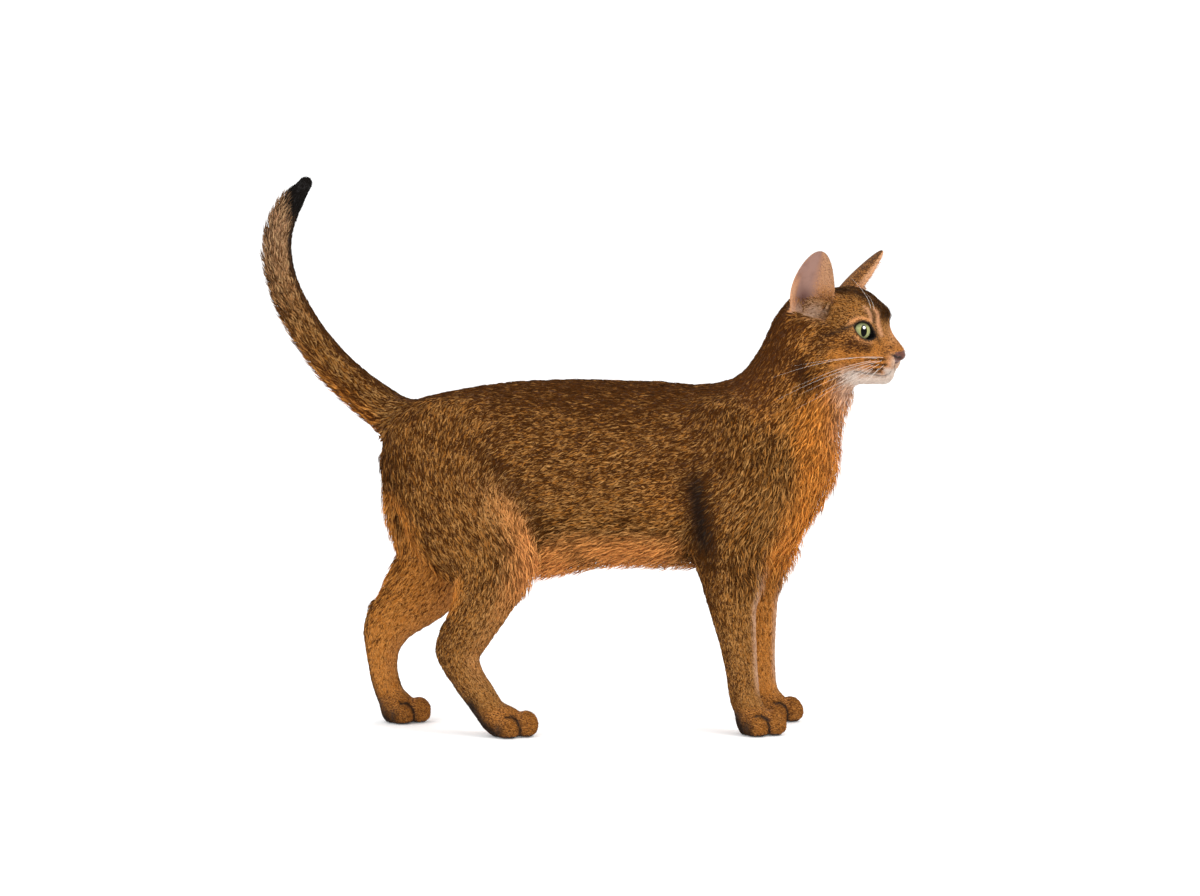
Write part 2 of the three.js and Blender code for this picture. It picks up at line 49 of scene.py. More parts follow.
# the form of the body
# a joint is x, y, z, the radius seen from the side, and the width as a share of it
trunkJoints = [
    (159.5, 0, 221, 42, 0.86), (120, 0, 215, 65.5, 0.69), (60, 0, 214, 74.5, 0.66),
    (10, 0, 215, 75, 0.67), (-48, 0, 220.5, 68.3, 0.66), (-95, 0, 225, 57, 0.72),
    (-120, 0, 226, 44, 0.8),
]
breastJoints = [(160, 0, 216, 40, 0.8), (150, 0, 184, 36, 0.8), (128, 0, 164, 28, 0.9)]
bellyJoints = [
    (-66, 0, 167, 35, 0.7), (-34, 0, 167, 40, 0.78), (-5, 0, 177.5, 39, 0.85),
    (30, 0, 182, 38, 0.9), (90, 0, 174.5, 35.5, 0.8),
]
neckJoints = [
    (188, -6, 321, 38, 0.84), (177.5, -4, 290, 42.6, 0.8), (158, 0, 256, 47, 0.78),
    (130, 0, 225, 54, 0.8),
]
tailJoints = [
    (-112, 0, 246, 24, 1), (-143, 0, 252, 21, 0.95), (-172, 1, 271, 17.5, 1),
    (-201.5, 2, 296.5, 16, 1), (-227.5, 3, 329.8, 14.6, 1), (-246, 4, 368, 13.4, 1),
    (-250, 4, 402, 12.6, 1), (-240.3, 4, 430.5, 11.2, 1), (-228, 4, 447.7, 8, 1),
]
foreJoints = {
    "right": [
        (112, -24, 250, 20, 0.9), (142, -31, 206, 33, 0.6), (120, -35, 160, 33, 0.62),
        (119, -36, 130, 25.5, 0.72), (121, -36, 106, 20.5, 0.82), (125, -35.5, 79, 16.3, 0.9),
        (128.6, -35, 52, 13.6, 1), (131.5, -34.5, 30, 13, 1.08), (136, -34, 17, 12.2, 1.1),
    ],
    "left": [
        (118, 24, 250, 20, 0.9), (150, 31, 206, 33, 0.6), (147, 35, 163, 34, 0.6),
        (143, 37, 130, 25.5, 0.72), (143.5, 38, 106, 20.5, 0.82), (145.5, 38, 79, 16.3, 0.9),
        (147.5, 38, 52, 13.4, 1), (149.5, 38, 30, 12.8, 1.08), (154, 38, 17, 12, 1.1),
    ],
}
hindJoints = {
    "right": [
        (-113, -22, 223, 51, 0.5), (-95, -30, 178, 50, 0.46), (-75, -38, 140, 34.5, 0.56),
        (-80.5, -41, 113, 26, 0.72), (-92, -42, 88, 21, 0.8), (-99.5, -42, 68, 17, 0.85),
        (-94.5, -42, 50, 14.4, 0.92), (-83, -42, 32, 13.4, 1), (-73, -42, 16, 12.6, 1.05),
    ],
    "left": [
        (-115, 22, 222, 53.5, 0.5), (-113, 29, 188, 55, 0.43), (-115, 34, 146, 41, 0.5),
        (-135.5, 35, 113, 31, 0.63), (-158.5, 35, 86, 20.5, 0.8), (-167, 35, 66, 15, 0.85),
        (-168, 35, 46, 12.6, 0.92), (-164, 35, 28, 12.2, 1.02), (-158, 35, 14, 12.2, 1.05),
    ],
}
heelJoints = {
    "right": [(-106, -42, 84, 11, 0.8), (-112, -42, 70, 8.3, 0.9), (-104, -42, 55, 7.6, 0.9)],
    "left": [(-169, 35, 94, 11.5, 0.8), (-176, 35, 78, 9, 0.9), (-172.5, 35, 58, 8, 0.9)],
}
feet = {  # the middle of each foot and its turn in degrees
    "foreRight": (144.5, -33.5, -4), "foreLeft": (163, 38, 3),
    "hindRight": (-57.5, -42, -3), "hindLeft": (-149, 34, 3),
}
joins = {"trunk": 18, "neck": 26, "limb": 16, "tail": 14, "head": 12, "paw": 6}


def smoothMin(a, b, k):
    h = np.maximum(k - np.abs(a - b), 0) / k
    return np.minimum(a, b) - h * h * k / 4


def smoothMax(a, b, k):
    return -smoothMin(-a, -b, k)


def unit(v):
    return v / np.maximum(np.linalg.norm(v, axis=-1, keepdims=True), 1e-9)


def curvePoint(points, t):
    # a centripetal spline through the points, t from 0 to 1
    last = len(points) - 1
    i = min(int(t * last), last - 1)
    w = t * last - i
    p1, p2 = points[i], points[i + 1]
    p0 = points[i - 1] if i > 0 else 2 * points[0] - points[1]
    p3 = points[i + 2] if i + 2 <= last else 2 * points[last] - points[last - 1]
    d0, d1, d2 = (max(np.sum((b - a) ** 2) ** 0.25, 1e-4) for a, b in ((p0, p1), (p1, p2), (p2, p3)))
    t1 = ((p1 - p0) / d0 - (p2 - p0) / (d0 + d1) + (p2 - p1) / d1) * d1
    t2 = ((p2 - p1) / d1 - (p3 - p1) / (d1 + d2) + (p3 - p2) / d2) * d1
    return p1 + w * (t1 + w * (-3 * p1 + 3 * p2 - 2 * t1 - t2 + w * (2 * p1 - 2 * p2 + t1 + t2)))


def chain(joints, steps=4):
    # a limb along a smooth curve: its field, its distance along, and the curve's own way
    table = np.array(joints, float)
    widths = np.stack([table[:, 3], table[:, 3] * table[:, 4]], 1)
    count = (len(joints) - 1) * steps
    path = np.array([curvePoint(table[:, :3], i / count) for i in range(count + 1)])
    size = np.array([curvePoint(widths, i / count) for i in range(count + 1)])
    margin = size[:, 0].max() + reaches["chain"]
    low, high = path.min(0) - margin, path.max(0) + margin

    def field(p, along=False):
        best = np.full(len(p), far)
        place = np.zeros(len(p))
        near = np.flatnonzero(np.all((p > low) & (p < high), axis=1))
        q = p[near]
        value = np.full(len(q), far)
        where = np.zeros(len(q))
        for i in range(count):
            a, step = path[i], path[i + 1] - path[i]
            (ra, wa), (rb, wb) = size[i], size[i + 1]
            x, y, z = (q - a).T
            t = np.clip((x * step[0] + y * step[1] + z * step[2]) / (step @ step), 0, 1)
            across = (y - step[1] * t) / (wa / ra + (wb / rb - wa / ra) * t)
            d = np.sqrt((x - step[0] * t) ** 2 + across ** 2 + (z - step[2] * t) ** 2)
            d = d - (ra + (rb - ra) * t)
            closer = d < value
            value = np.where(closer, d, value)
            where = np.where(closer, (i + t) / count, where)
        best[near], place[near] = value, where
        return (best, place) if along else best

    return {"field": field, "path": path, "count": count}


def ellipsoid(x, y, z, rx, ry, rz):
    centre, radii = np.array([x, y, z], float), np.array([rx, ry, rz], float)

    def field(p):
        a = (p - centre) / radii
        k0 = np.sqrt((a * a).sum(1))
        k1 = np.sqrt(((a / radii) ** 2).sum(1))
        return k0 * (k0 - 1) / np.maximum(k1, 1e-9)

    return field


def gather(masses, p):
    total = np.full(len(p), far)
    for mass, k in masses:
        total = smoothMin(total, mass(p), k)
    return total


trunk, breast, belly = chain(trunkJoints), chain(breastJoints), chain(bellyJoints)
neck, tail = chain(neckJoints), chain(tailJoints)


def lineDistance(p, line):
    # the distance from points to a line of short straight pieces, in two or three dimensions
    best = np.full(len(p), far)
    line = np.asarray(line, float)
    for a, b in zip(line[:-1], line[1:]):
        t = np.clip(((p - a) @ (b - a)) / ((b - a) @ (b - a)), 0, 1)
        best = np.minimum(best, np.linalg.norm(p - a - t[:, None] * (b - a), axis=1))
    return best


# the head's own frame starts between the eyes, x to the nose and z up
headAt = np.array([227, -12, 329], float)
headTurn = math.radians(-22)
headReach = 110  # no part of the head is further from its origin
midlineSoftness = 2  # how softly the head's two halves run together
noseBridge = chain([(11, 0, 10, 9, 1), (18.3, 0, -4, 7.4, 1.1), (29.6, 0, -16.7, 6.2, 1.1)])
jaw = chain([(18, 1.5, -35.5, 8.8, 1.15), (-3, 9, -34, 9.5, 1), (-24, 18, -26, 14, 1)])
headMasses = [
    (ellipsoid(-18, 0, 6, 35, 31, 30), 1),
    (ellipsoid(-6.5, 0, 8, 25, 22, 25), 8),  # forehead
    (ellipsoid(9.2, 12.3, 13, 10.5, 8.5, 7.5), 8),  # brow
    (ellipsoid(-10, 20, -12, 24, 16, 20), 12),  # cheek
    (ellipsoid(3, 9, -14, 17, 12.5, 14), 10),  # upper jaw
    (noseBridge["field"], 8),
    (ellipsoid(18, 8, -25.6, 12.3, 9.6, 8.8), 7),  # whisker pad
    (jaw["field"], 6),
    (ellipsoid(-38, 17, 17, 18, 13, 15), 10),  # root of the ear
]


def turnAbout(angle):
    c, s = math.cos(angle), math.sin(angle)
    return np.array([[c, -s, 0], [s, c, 0], [0, 0, 1]])


def intoHead(p):
    return (p - headAt) @ turnAbout(headTurn)


def fromHead(p):
    return np.asarray(p, float) @ turnAbout(headTurn).T + headAt


def mirrored(p):
    return np.stack([p[:, 0], np.abs(p[:, 1]), p[:, 2]], 1)


def headField(p):
    value = np.full(len(p), far)
    near = np.linalg.norm(p - headAt, axis=1) < reaches["head"]
    local = intoHead(p[near])
    local[:, 1] = np.hypot(local[:, 1], midlineSoftness)
    value[near] = gather(headMasses, local)
    return value


pawMasses = [
    (ellipsoid(-6.5, 0, 11, 13.5, 14, 15), 1),
    (ellipsoid(-1, 0, 8.5, 14, 13, 11.5), 8),
    (ellipsoid(10, 5, 9.6, 11.2, 6.2, 11.6), 1.6),  # inner toe
    (ellipsoid(-3, 12.2, 7.6, 9.5, 6.6, 9.8), 1.6),  # outer toe
]
# x and z along the gap between the outer and the inner toe
toeGap = [(-5, 17.4), (0, 17.6), (4.5, 14.2), (6.8, 8.5), (6.6, 0)]


def bump(x, middle, width):
    # 1 in the middle, fading to 0 at about twice the width
    return np.exp(-(((x - middle) / width) ** 2))


def pawField(name):
    x, y, turn = feet[name]

    def field(p):
        value = np.full(len(p), far)
        near = np.linalg.norm(p - [x, y, 10], axis=1) < reaches["paw"]
        local = (p[near] - [x, y, 0]) @ turnAbout(math.radians(turn))
        local[:, 1] = np.hypot(local[:, 1], midlineSoftness)
        value[near] = gather(pawMasses, local)
        return value

    return field


def coreField(p):
    core = smoothMin(trunk["field"](p), breast["field"](p), joins["trunk"])
    core = smoothMin(core, belly["field"](p), joins["trunk"])
    core = smoothMin(core, neck["field"](p), joins["neck"])
    return smoothMin(core, headField(p), joins["head"])


limbs = {}
for side in sides:
    name = side.capitalize()
    fore, hind, heel = chain(foreJoints[side]), chain(hindJoints[side]), chain(heelJoints[side])
    limbs["fore" + name] = {"leg": fore, "extra": [pawField("fore" + name)]}
    limbs["hind" + name] = {"leg": hind, "extra": [heel["field"], pawField("hind" + name)]}


def limbField(limb, p):
    value = limb["leg"]["field"](p)
    for extra in limb["extra"]:
        value = smoothMin(value, extra(p), joins["paw"])
    return value


# the outer form of the coat: the limbs run into the trunk and not into each other
def catField(p):
    core = smoothMin(coreField(p), tail["field"](p), joins["tail"])
    value = core
    for limb in limbs.values():
        value = np.minimum(value, smoothMin(core, limbField(limb, p), joins["limb"]))
    return np.maximum(value, -p[:, 2])


# the surface is found in a grid and then drawn exactly onto the form
gridBox = np.array([-276, -72, -9.0]), np.array([274, 70, 466.0])


def gridSurface(field, step, block=4):
    # only the blocks of cells that the surface may pass through are worked out in full
    low, high = gridBox
    cells = np.ceil((high - low) / (step * block)).astype(int)
    axes = [low[i] + step * block * np.arange(cells[i] + 1) for i in range(3)]
    rough = field(np.stack(np.meshgrid(*axes, indexing="ij"), -1).reshape(-1, 3)).reshape(cells + 1)
    near = np.zeros(cells, bool)
    for corner in np.ndindex(2, 2, 2):
        part = rough[tuple(slice(c, c + n) for c, n in zip(corner, cells))]
        near |= np.abs(part) < 1.7 * step * block
    fine = np.zeros(cells * block + 1, bool)
    spread = near.repeat(block, 0).repeat(block, 1).repeat(block, 2)
    for corner in np.ndindex(2, 2, 2):
        fine[tuple(slice(c, c + n) for c, n in zip(corner, spread.shape))] |= spread
    values = np.full(fine.shape, far, np.float32)
    signs = np.sign(rough[:-1, :-1, :-1])
    values[:-1, :-1, :-1] = signs.repeat(block, 0).repeat(block, 1).repeat(block, 2) * far
    index = np.argwhere(fine)
    values[fine] = field(low + step * index)
    volume = openvdb.FloatGrid()
    volume.background = far
    volume.copyFromArray(values)
    points, quads = volume.convertToQuads(isovalue=0.0)
    verts = low + step * points.astype(float)
    a, b, c, d = verts[quads].transpose(1, 0, 2)
    short = np.linalg.norm(a - c, axis=1) < np.linalg.norm(b - d, axis=1)
    first = np.where(short[:, None], quads[:, [0, 1, 2]], quads[:, [0, 1, 3]])
    second = np.where(short[:, None], quads[:, [0, 2, 3]], quads[:, [1, 2, 3]])
    return verts, np.concatenate([first, second]).astype(np.int64)


def faceNormals(verts, faces):
    a, b, c = verts[faces].transpose(1, 0, 2)
    return np.cross(b - a, c - a)


def vertexNormals(verts, faces):
    n = faceNormals(verts, faces)
    total = np.zeros_like(verts)
    for corner in range(3):
        for axis in range(3):
            total[:, axis] += np.bincount(faces[:, corner], n[:, axis], len(verts))
    return unit(total)


def edgesOf(faces):
    pairs = np.concatenate([faces[:, [0, 1]], faces[:, [1, 2]], faces[:, [2, 0]]])
    keys = np.sort(pairs, 1)
    return np.unique(keys[:, 0] * edgeKey + keys[:, 1])


def smoothed(values, faces, share, rounds=1, only=None):
    # every value is drawn towards the mean of its neighbours
    keys = edgesOf(faces)
    a, b = keys // edgeKey, keys % edgeKey
    count = np.bincount(a, minlength=len(values)) + np.bincount(b, minlength=len(values))
    values = values.astype(float)
    flat = values.ndim == 1
    work = values[:, None] if flat else values
    for _ in range(rounds):
        mean = np.stack([
            np.bincount(a, work[b, i], len(work)) + np.bincount(b, work[a, i], len(work))
            for i in range(work.shape[1])
        ], 1) / np.maximum(count, 1)[:, None]
        step = share * (mean - work)
        if only is not None:
            step *= only[:, None]
        work = work + step
    return work[:, 0] if flat else work


def settle(verts, faces, field, rounds, relax=0.4):
    # every point slides along its normal onto the form, and sideways to even out its faces
    for _ in range(rounds):
        n = vertexNormals(verts, faces)
        drift = smoothed(verts, faces, relax) - verts
        verts = verts + drift - n * (drift * n).sum(1, keepdims=True)
        value = field(verts)
        slope = (field(verts + probe * n) - value) / probe
        verts = verts - n * np.clip(value / np.maximum(slope, 0.5), -1.5, 1.5)[:, None]
    return verts


def refined(verts, faces, chosen):
    # chosen faces are cut in four, and their neighbours in two or three to meet them
    edges = np.stack([faces, np.roll(faces, -1, 1)], -1)
    keys = np.sort(edges, -1)
    keys = keys[..., 0] * edgeKey + keys[..., 1]
    cut = np.unique(keys[chosen])
    marked = np.isin(keys, cut)
    middle = (verts[cut // edgeKey] + verts[cut % edgeKey]) / 2
    number = len(verts) + np.searchsorted(cut, keys)
    verts = np.concatenate([verts, middle])
    count = marked.sum(1)
    out = [faces[count == 0]]
    for k in (1, 2):  # turned so that the cut edge, or the whole one, comes first
        rows = np.flatnonzero(count == k)
        first = np.argmax(marked[rows], 1) if k == 1 else np.argmin(marked[rows], 1)
        order = (first[:, None] + np.arange(3)) % 3
        f = np.take_along_axis(faces[rows], order, 1)
        m = np.take_along_axis(number[rows], order, 1)
        if k == 1:
            out += [np.stack([f[:, 0], m[:, 0], f[:, 2]], 1), np.stack([m[:, 0], f[:, 1], f[:, 2]], 1)]
        else:
            out += [
                np.stack([f[:, 0], f[:, 1], m[:, 1]], 1), np.stack([f[:, 0], m[:, 1], m[:, 2]], 1),
                np.stack([m[:, 2], m[:, 1], f[:, 2]], 1),
            ]
    rows = count == 3
    f, m = faces[rows], number[rows]
    for t in ((f[:, 0], m[:, 0], m[:, 2]), (m[:, 0], f[:, 1], m[:, 1]), (m[:, 2], m[:, 1], f[:, 2])):
        out.append(np.stack(t, 1))
    out.append(m)
    return verts, np.concatenate(out)


def smoothStep(low, high, x):
    t = np.clip((x - low) / (high - low), 0, 1)
    return t * t * (3 - 2 * t)


def blob(p, centre, radii):
    # 1 at the centre of a soft ellipsoid, fading to 0 at about twice its radii
    return np.exp(-((((p - np.array(centre, float)) / np.array(radii, float)) ** 2).sum(1)))


def toeGaps(p):
    # where two toes meet, as seen from the side and from the front
    side, front = np.zeros(len(p)), np.zeros(len(p))
    for x, y, turn in feet.values():
        near = np.linalg.norm(p - [x, y, 10], axis=1) < 40
        local = mirrored((p[near] - [x, y, 0]) @ turnAbout(math.radians(turn)))
        gap = bump(lineDistance(local[:, [0, 2]], toeGap), 0, 1.3) * smoothStep(5, 8, local[:, 1])
        side[near] = np.maximum(side[near], gap)
        front[near] = np.maximum(front[near], bump(local[:, 1], 0, 1.2) * smoothStep(10, 14, local[:, 0]))
    return side, front


# the face
eye = {
    "at": np.array([1.5, 17, -0.5]), "radius": 10.5, "gaze": math.radians(38), "lid": 1.5, "lidSoft": 3.5,
    # height, distance from the opening's edge and width
    "rim": (0.35, 1.1, 0.9), "fold": (0.45, 4.2, 1.0), "depth": 2.2, "cornerDepth": 2.9,
    "outer": (9.3, 3.2), "inner": (-9.9, -4.4),
    "upper": ((6, 9.2), (-4.5, 10.4)), "lower": ((-5, -9.6), (8.5, -7.6)),
}
skullCore = np.array([-10.0, 0, -7])
face = {
    "mouth": [(30, 0.5, -29), (26.5, 6, -34.5), (18, 11.5, -37), (8, 15.5, -36), (-1, 18, -33)],
    "cleft": [(31, 0, -22), (29, 0, -25), (27.5, 0, -28.5)],
    "nosePad": ((30, 0, -20.2), (6.6, 6, 5.2)),
    "noseWing": ((28.8, 4.2, -20.4), (4, 3, 3)),
    "nostril": ((32.8, 3.8, -22.4), (1.9, 1.7, 1.6)),
    "slit": [(33, 3.6, -22.8), (31, 6, -21.8), (28.6, 8, -20.3)],
    "joins": (("nosePad", 2.2), ("noseWing", 1.4)),
    # depth and width of each groove, and the depth of the nostril
    "mouthGroove": (0.9, 0.85), "cleftGroove": (0.6, 0.9), "slitGroove": (0.6, 0.9), "nostrilDepth": 1.9,
}


def bezier(a, b, c, d, count):
    t = np.linspace(0, 1, count, endpoint=False)[:, None]
    a, b, c, d = (np.array(v, float) for v in (a, b, c, d))
    return (1 - t) ** 3 * a + 3 * (1 - t) ** 2 * t * b + 3 * (1 - t) * t * t * c + t ** 3 * d


almond = np.concatenate([
    bezier(eye["outer"], *eye["upper"], eye["inner"], 14),
    bezier(eye["inner"], *eye["lower"], eye["outer"], 14),
])


def almondDistance(q):
    # how far outside the eye's opening a point lies, seen along the gaze
    line = np.concatenate([almond, almond[:1]])
    inside = np.zeros(len(q), bool)
    for (ax, ay), (bx, by) in zip(line[:-1], line[1:]):
        crosses = (ay > q[:, 1]) != (by > q[:, 1])
        if ay != by:
            inside ^= crosses & (q[:, 0] < (bx - ax) * (q[:, 1] - ay) / (by - ay) + ax)
    return np.where(inside, -1, 1) * lineDistance(q, line)


def intoEye(m):
    # ahead along the gaze, outwards and upwards from the middle of the eyeball
    return (m - eye["at"]) @ turnAbout(eye["gaze"])


def onSkull(m, line):
    # the distance over the face to a line that is seen from the core of the skull
    way = m - skullCore
    reach = np.linalg.norm(way, axis=1)
    return lineDistance(way / reach[:, None], unit(np.array(line, float) - skullCore)) * reach


def lidDistance(q, reach):
    # how far outside the eye's opening each point lies, where it is near enough to matter
    edge = np.full(len(q), far)
    close = (np.linalg.norm(q, axis=1) < reach) & (q[:, 0] > 0)
    edge[close] = almondDistance(q[close, 1:])
    return edge


def groove(away, size):
    depth, width = size
    return depth * bump(away, 0, width)


def faceForm(m, value):
    # eyeball and lids, the eye's opening, the nose, the mouth line and the nostrils
    q = intoEye(m)
    r = np.linalg.norm(q, axis=1)
    value = smoothMin(value, r - eye["radius"] - eye["lid"], eye["lidSoft"])
    edge = lidDistance(q, 20)
    (rim, rimAt, rimWidth), (fold, foldAt, foldWidth) = eye["rim"], eye["fold"]
    value = value - rim * bump(edge, rimAt, rimWidth)
    value = value + fold * bump(edge, foldAt, foldWidth) * smoothStep(-2, 4, q[:, 2])
    bottom = eye["radius"] - eye["depth"] + eye["cornerDepth"] * smoothStep(5.5, 8.5, -q[:, 1])
    value = smoothMax(value, -np.maximum(edge, bottom - r), 0.7)
    for name, k in face["joins"]:
        value = smoothMin(value, ellipsoid(*face[name][0], *face[name][1])(m), k)
    value = value + groove(onSkull(m, face["mouth"]), face["mouthGroove"])
    value = value + groove(onSkull(m, face["cleft"]), face["cleftGroove"]) * smoothStep(20, 26, m[:, 0])
    value = value + groove(lineDistance(m, face["slit"]), face["slitGroove"])
    return value + face["nostrilDepth"] * blob(m, *face["nostril"])


# the ears, each with the way its cup opens, half its width and its curl in degrees
ears = {
    "right": {
        "root": (-39.5, 29, 11), "tip": (-23.8, 33.8, 63.4), "open": (0.45, 0.9, 0.1),
        "half": 21, "curl": 66, "front": 0.65,
    },
    "left": {
        "root": (-29, 19, 12), "tip": (9.5, 27, 64.5), "open": (0.8, 0.55, -0.3),
        "half": 21.5, "curl": 70, "front": 0.0,
    },
}
earThick = 2.6


def earFrame(ear):
    root, tip, out = (np.array(ear[k], float) for k in ("root", "tip", "open"))
    up = tip - root
    height = np.linalg.norm(up)
    up /= height
    out = unit(out - up * (out @ up))
    return root, np.stack([out, np.cross(up, out), up]), height


def earSection(ear, rise):
    taper = np.sqrt(np.maximum(1 - np.clip(rise, 0, 1) ** 1.5, 0.0002))
    width = ear["half"] * taper * (1 - 0.5 * (1 - rise) ** 3)
    angle = math.radians(ear["curl"]) * (1 - 0.45 * rise)
    return width / np.sin(angle), angle, width


def frontReach(ear, rise, u):
    # the front half of an ear's foot runs out onto the crown
    return 1 + ear["front"] * (1 - rise) ** 2.5 * (u > 0)


def earPoint(ear, u, rise, inset=0.0):
    # a place on the curled ear: u from the rear edge, -1, to the front one, 1
    radius, angle, _ = earSection(ear, rise)
    r = radius + inset
    across = -r * np.sin(u * angle) * frontReach(ear, rise, u)
    root, axes, height = earFrame(ear)
    return np.stack([radius * np.cos(angle) - r * np.cos(u * angle), across, rise * height], -1) @ axes + root


def intoEar(side, p):
    # out of the cup, across, and the share of the height, with the ear's curled section there
    ear = ears[side]
    root, axes, height = earFrame(ear)
    m = intoHead(p) * [1, sides[side], 1]
    out, across, up = axes @ (m - root).T
    rise = np.clip(up / height, 0, 1)
    radius, angle, width = earSection(ear, rise)
    across = across / frontReach(ear, rise, -across)
    spin = np.arctan2(-across, radius * np.cos(angle) - out)
    return {
        "out": out, "across": across, "up": up, "rise": rise, "width": width,
        "arc": radius * angle, "u": spin / angle,
        "from": np.hypot(across, radius * np.cos(angle) - out) - radius,
    }


def earHollow(side, p):
    # the cup that is taken out of the head before the ear
    e = intoEar(side, p)
    cup = np.maximum(e["from"] + 0.2, e["out"] - 3)
    mouth = np.maximum(np.maximum(np.abs(e["across"]) - e["width"] + 1, e["out"] - 16), -e["out"] - 3)
    return np.maximum(np.minimum(cup, mouth), 1.5 - e["up"])


def earFoot(side, p):
    # the wall of the ear near the head, with a ramp before its front edge
    e = intoEar(side, p)
    ramp = 0.35 * np.clip(1 - e["up"] / 14, 0, 1) * (e["u"] > 0)
    past = np.maximum(np.abs(e["u"]) - 1 - ramp, 0) * e["arc"]
    return np.where(e["up"] < 30, np.hypot(e["from"], past) - 1.3, far)


def earShell(side, across=44, along=46):
    ear = ears[side]
    u, v = np.meshgrid(np.linspace(-1, 1, across), np.linspace(0, 1, along), indexing="ij")
    rise = 1 - (1 - v) ** 1.4
    thick = earThick * (1 - 0.6 * u * u) * (1 - 0.5 * rise)
    layers = [fromHead(earPoint(ear, u, rise, w * thick) * [1, sides[side], 1]) for w in (-0.5, 0.5)]
    grid = np.arange(across * along).reshape(across, along)
    a, b, c, d = grid[:-1, :-1], grid[1:, :-1], grid[1:, 1:], grid[:-1, 1:]
    quads = np.stack([a, b, c, d], -1).reshape(-1, 4)
    faces = [quads + across * along, quads[:, ::-1]]
    for line in (grid[:, 0], grid[-1, :], grid[::-1, -1], grid[0, ::-1]):
        low, high = line[:-1], line[1:]
        faces.append(np.stack([low, high, high + across * along, low + across * along], 1))
    faces = np.concatenate(faces)
    if sides[side] < 0:
        faces = faces[:, ::-1]
    return np.concatenate([s.reshape(-1, 3) for s in layers]), faces


# the skin is the form drawn in by the depth of the coat
skinSettings = {
    "voxel": 3.1, "bodyRounds": 4, "fineRounds": 2, "headRounds": 3, "faceRounds": 5, "faceRelax": 0.25,
    "headMiddle": (-6, 0, -4), "headFine": 52, "faceReach": 62, "toeDepth": 1.2,
    "earJoin": 7, "hollowJoin": 4, "noseMiddle": (29.5, 2, -21), "noseFine": 9.5,
}


def coatDepth(p):
    # how far the skin lies under the tips of the coat
    local = intoHead(p)
    limb = 0.9 + 0.9 * smoothStep(30, 120, p[:, 2]) + 0.7 * smoothStep(120, 190, p[:, 2])
    headPart = 0.6 + 1.9 * smoothStep(38, 95, np.linalg.norm(local - [30, 0, -16], axis=1))
    reach = smoothStep(-70, -40, local[:, 0]) * (np.linalg.norm(local, axis=1) < headReach)
    return limb + (headPart - limb) * reach


def headLocal(verts):
    return mirrored(intoHead(verts))


def buildSkin():
    s = skinSettings
    verts, faces = gridSurface(catField, s["voxel"])
    verts = settle(verts, faces, catField, s["bodyRounds"])
    middle = verts[faces].mean(1)
    local = intoHead(middle)
    chosen = (np.linalg.norm(local - s["headMiddle"], axis=1) < s["headFine"]) & (local[:, 0] > -46)
    for x, y, _ in feet.values():
        chosen |= (np.linalg.norm(middle[:, :2] - [x, y], axis=1) < 40) & (middle[:, 2] < 26)
    verts, faces = refined(verts, faces, chosen)
    verts = settle(verts, faces, catField, s["fineRounds"])
    print("body", len(verts), "points")

    # the gradient's length turns a depth in millimetres into a value of the field
    def skinField(p):
        n = vertexNormals(p, faces)
        form = catField(p)
        slope = np.clip((catField(p + probe * n) - form) / probe, 0.6, 2.5)
        value = (form + coatDepth(p) * slope) / slope
        near = np.linalg.norm(intoHead(p) - s["headMiddle"], axis=1) < s["faceReach"]
        value[near] = faceForm(headLocal(p[near]), value[near])
        for side in sides:
            close = near & (p[:, 2] > headAt[2])
            value[close] = smoothMin(value[close], earFoot(side, p[close]), s["earJoin"])
            value[close] = smoothMax(value[close], -earHollow(side, p[close]), s["hollowJoin"])
        return value + s["toeDepth"] * toeGaps(p)[0]

    # muzzle, eyes, mouth, toes and the foot of each ear get finer faces
    verts = settle(verts, faces, skinField, s["headRounds"])
    middle = verts[faces].mean(1)
    m = headLocal(middle)
    q = intoEye(m)
    onFace = np.linalg.norm(m, axis=1) < 60
    chosen = ((m[:, 0] > 14) & (m[:, 2] < -4) | (onSkull(m, face["mouth"]) < 3)) & onFace
    chosen |= (np.linalg.norm(q, axis=1) < 17) & (q[:, 0] > 1)
    for x, y, _ in feet.values():
        chosen |= (np.linalg.norm(middle[:, :2] - [x + 4, y], axis=1) < 18) & (middle[:, 2] < 19)
    for side in sides:
        chosen |= (np.abs(earHollow(side, middle)) < 3) & (m[:, 2] < 40) & (m[:, 2] > 4)
    verts, faces = refined(verts, faces, chosen)
    verts = settle(verts, faces, skinField, s["headRounds"])
    m = headLocal(verts[faces].mean(1))
    q = intoEye(m)
    chosen = (np.linalg.norm(q, axis=1) < 14) & (q[:, 0] > 4) & (np.abs(almondDistance(q[:, 1:])) < 3)
    chosen |= np.linalg.norm(m - s["noseMiddle"], axis=1) < s["noseFine"]
    verts, faces = refined(verts, faces, chosen)
    verts = settle(verts, faces, skinField, s["faceRounds"], s["faceRelax"])
    verts[:, 2] = np.maximum(verts[:, 2], 0.0)
    print("skin", len(verts), "points", len(faces), "faces")
    return verts, faces


def meshObject(name, verts, faces, smooth=True):
    mesh = bpy.data.meshes.new(name)
    faces = np.asarray(faces)
    size = faces.shape[1]
    mesh.vertices.add(len(verts))
    mesh.vertices.foreach_set("co", (np.asarray(verts) * mm).astype(np.float32).ravel())
    mesh.loops.add(faces.size)
    mesh.loops.foreach_set("vertex_index", faces.astype(np.int32).ravel())
    mesh.polygons.add(len(faces))
    mesh.polygons.foreach_set("loop_start", np.arange(0, faces.size, size, dtype=np.int32))
    mesh.polygons.foreach_set("use_smooth", np.full(len(faces), smooth))
    mesh.update(calc_edges=True)
    mesh.validate()
    obj = bpy.data.objects.new(name, mesh)
    bpy.context.scene.collection.objects.link(obj)
    return obj


